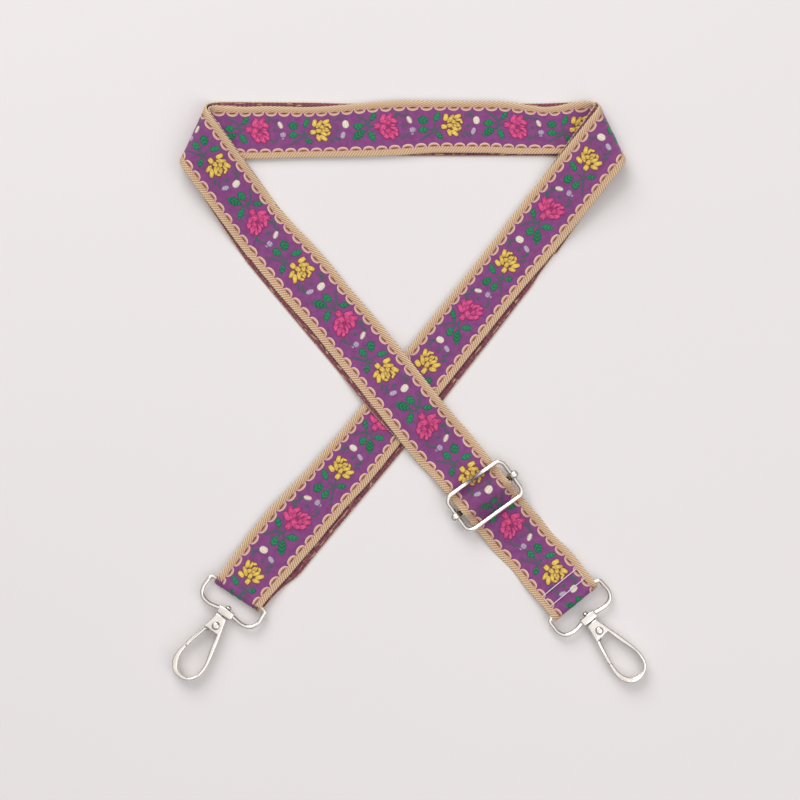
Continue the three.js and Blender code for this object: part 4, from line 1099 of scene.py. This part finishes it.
def flower_pieces():
    """All raised shapes of the webbing, repeated along it and shared out to its sections by where they lie.
    Each kind lies a step above the last, and each shape a smaller one above its neighbour, so that none
    meet in one plane. No point of them goes below the table."""
    low, high = np.interp(LAY.s[[0, -1]], PATTERN_S, PATTERN_P) / REPEAT
    repeat = np.arange(np.floor(low), np.ceil(high) + 2)[:, None, None, None] * REPEAT
    gathered = []
    for number, (kind, (a, across, raised, edge, along, side)) in enumerate(SHAPES.items()):
        s = np.interp(repeat - a, PATTERN_P, PATTERN_S)
        order = np.arange(len(a))[None, :, None, None]
        lift = CLOTH_HALF - SUNK + raised + SHAPE_STEP * (order % SHAPE_STEPS) + KIND_STEP * number
        columns = [s, across, lift, edge, order * TONE_STEP % 1, along, side, list(THREADS).index(kind)]
        gathered.append([np.broadcast_to(column, s.shape).reshape(-1, *T.shape) for column in columns])
    u, w, lift, rim, tone, along, side, kind = together(*gathered)
    inside = (u.min((1, 2)) > LAY.s[0] + END_MARGIN) & (u.max((1, 2)) < LAY.s[-1] - END_MARGIN)
    points = on_webbing(u, w, lift)
    points[..., 2] = np.maximum(points[..., 2], LEAST_HEIGHT)
    middle = u[:, SHAPE_ROWS // 2, SHAPE_COLUMNS // 2]
    shape_quads = grid_quads(SHAPE_ROWS, SHAPE_COLUMNS)
    made = {}
    for name, (first, last, _) in SECTIONS.items():
        held = inside & (middle >= LAY.s[first]) & (middle < LAY.s[last])
        start = (np.arange(held.sum()) * T.size)[:, None, None]
        quads = (shape_quads[None] + start)[:, :, ::-1]
        maps = {"cloth": (u, w), "rim": (rim, tone), "shape": (along, side)}
        maps = {label: np.stack([part[held] for part in pair], axis=-1) for label, pair in maps.items()}
        finish = np.repeat(kind[held, 0, 0], len(shape_quads))
        threads = list(THREADS.values())
        made[name] = make_mesh(f"{name}_flowers", points[held], quads, maps, finish, threads, closed=False)
    return made


FLOWERS = flower_pieces()
for section, (first, last, bending) in SECTIONS.items():
    cloth = cloth_piece(f"{section}_webbing", first, last)
    rope = rope_piece(f"{section}_selvedges", first, last)
    for piece in (cloth, rope, FLOWERS[section]):
        if bending is None:
            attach(piece, "strap")
        else:
            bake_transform(piece)
    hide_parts("webbing")

# ---- metal


MERGE_DISTANCE = 0.001 * MM
SHARP_ANGLE = 40 * DEG


def merged_copy(node, slot, body):
    """A joined copy of a CAD node with its sharp edges kept and the rest shaded smooth."""
    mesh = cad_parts[node].data.copy()
    made = bpy.data.objects.new(f"{node}_finished", mesh)
    bpy.context.scene.collection.objects.link(made)
    shell = bmesh.new()
    shell.from_mesh(mesh)
    bmesh.ops.remove_doubles(shell, verts=shell.verts, dist=MERGE_DISTANCE)
    shell.to_mesh(mesh)
    shell.free()
    mesh.materials.clear()
    mesh.materials.append(FINISHES[slot])
    mesh.polygons.foreach_set("use_smooth", np.ones(len(mesh.polygons), bool))
    mesh.set_sharp_from_angle(angle=SHARP_ANGLE)
    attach(made, body)
    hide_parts(node)


for side in ("left", "right"):
    merged_copy(f"{side}_loop", "nickel", f"{side}_loop")
    for piece in ("hook", "swivel_post", "gate_rivet"):
        merged_copy(f"{side}_{piece}", "nickel", f"{side}_hook")
    merged_copy(f"{side}_gate", "nickel", f"{side}_gate")
    merged_copy(f"{side}_gate_spring", "spring", f"{side}_hook")
merged_copy("slider_frame", "nickel", "slider_frame")
merged_copy("slider_bar", "nickel", "slider_bar")
merged_copy("clasp_end_stitches", "thread", "strap")
merged_copy("slider_end_stitches", "thread", "slider_bar")

# ---- table, lights and room


TABLE_HALF = 1500.0


def table_top():
    """Pale matt table: one square, its colour a soft noise between two near whites."""
    points = np.array([(-1, -1, 0), (1, -1, 0), (1, 1, 0), (-1, 1, 0)]) * TABLE_HALF
    material, board, shader = material_of("pale_table")
    colour = board.blend(board.noise(board.object_place(), 3.0), srgb(233, 229, 229), srgb(237, 233, 233))
    board.fill(shader, {"Base Color": colour, "Roughness": 0.9, "Specular IOR Level": 0.1})
    square = np.array([[0, 1, 2, 3]])
    make_mesh("pale_table", points, square, materials=[material], closed=False, flat=True)


def soft_light(name, place, size, power):
    """A square light that faces the middle of the table."""
    data = bpy.data.lights.new(name, "AREA")
    data.size = size
    data.energy = power
    light = bpy.data.objects.new(name, data)
    light.location = place
    light.rotation_euler = (-Vector(place)).to_track_quat("-Z", "Y").to_euler()
    bpy.context.scene.collection.objects.link(light)


def room():
    """Plain surroundings: bright straight above, grey half way and dark at the horizon."""
    world = bpy.data.worlds.new("studio")
    world.use_nodes = True
    bpy.context.scene.world = world
    board = Board(world.node_tree)
    upwards = board.parts(board.add("ShaderNodeTexCoord", {})["Generated"])[2]
    low = board.blend(board.span(upwards, 0.12, 0.6), (0.05, 0.045, 0.045, 1.0), (0.6, 0.59, 0.59, 1.0))
    colour = board.blend(board.span(upwards, 0.7, 0.95), low, (1.4, 1.38, 1.37, 1.0))
    board.fill(world.node_tree.nodes["Background"], {"Color": colour, "Strength": 0.72})


table_top()
soft_light("key_light", (-0.5, 1.25, 1.2), size=1.2, power=17.0)
soft_light("fill_light", (0.9, -0.6, 1.2), size=1.2, power=5.4)
room()
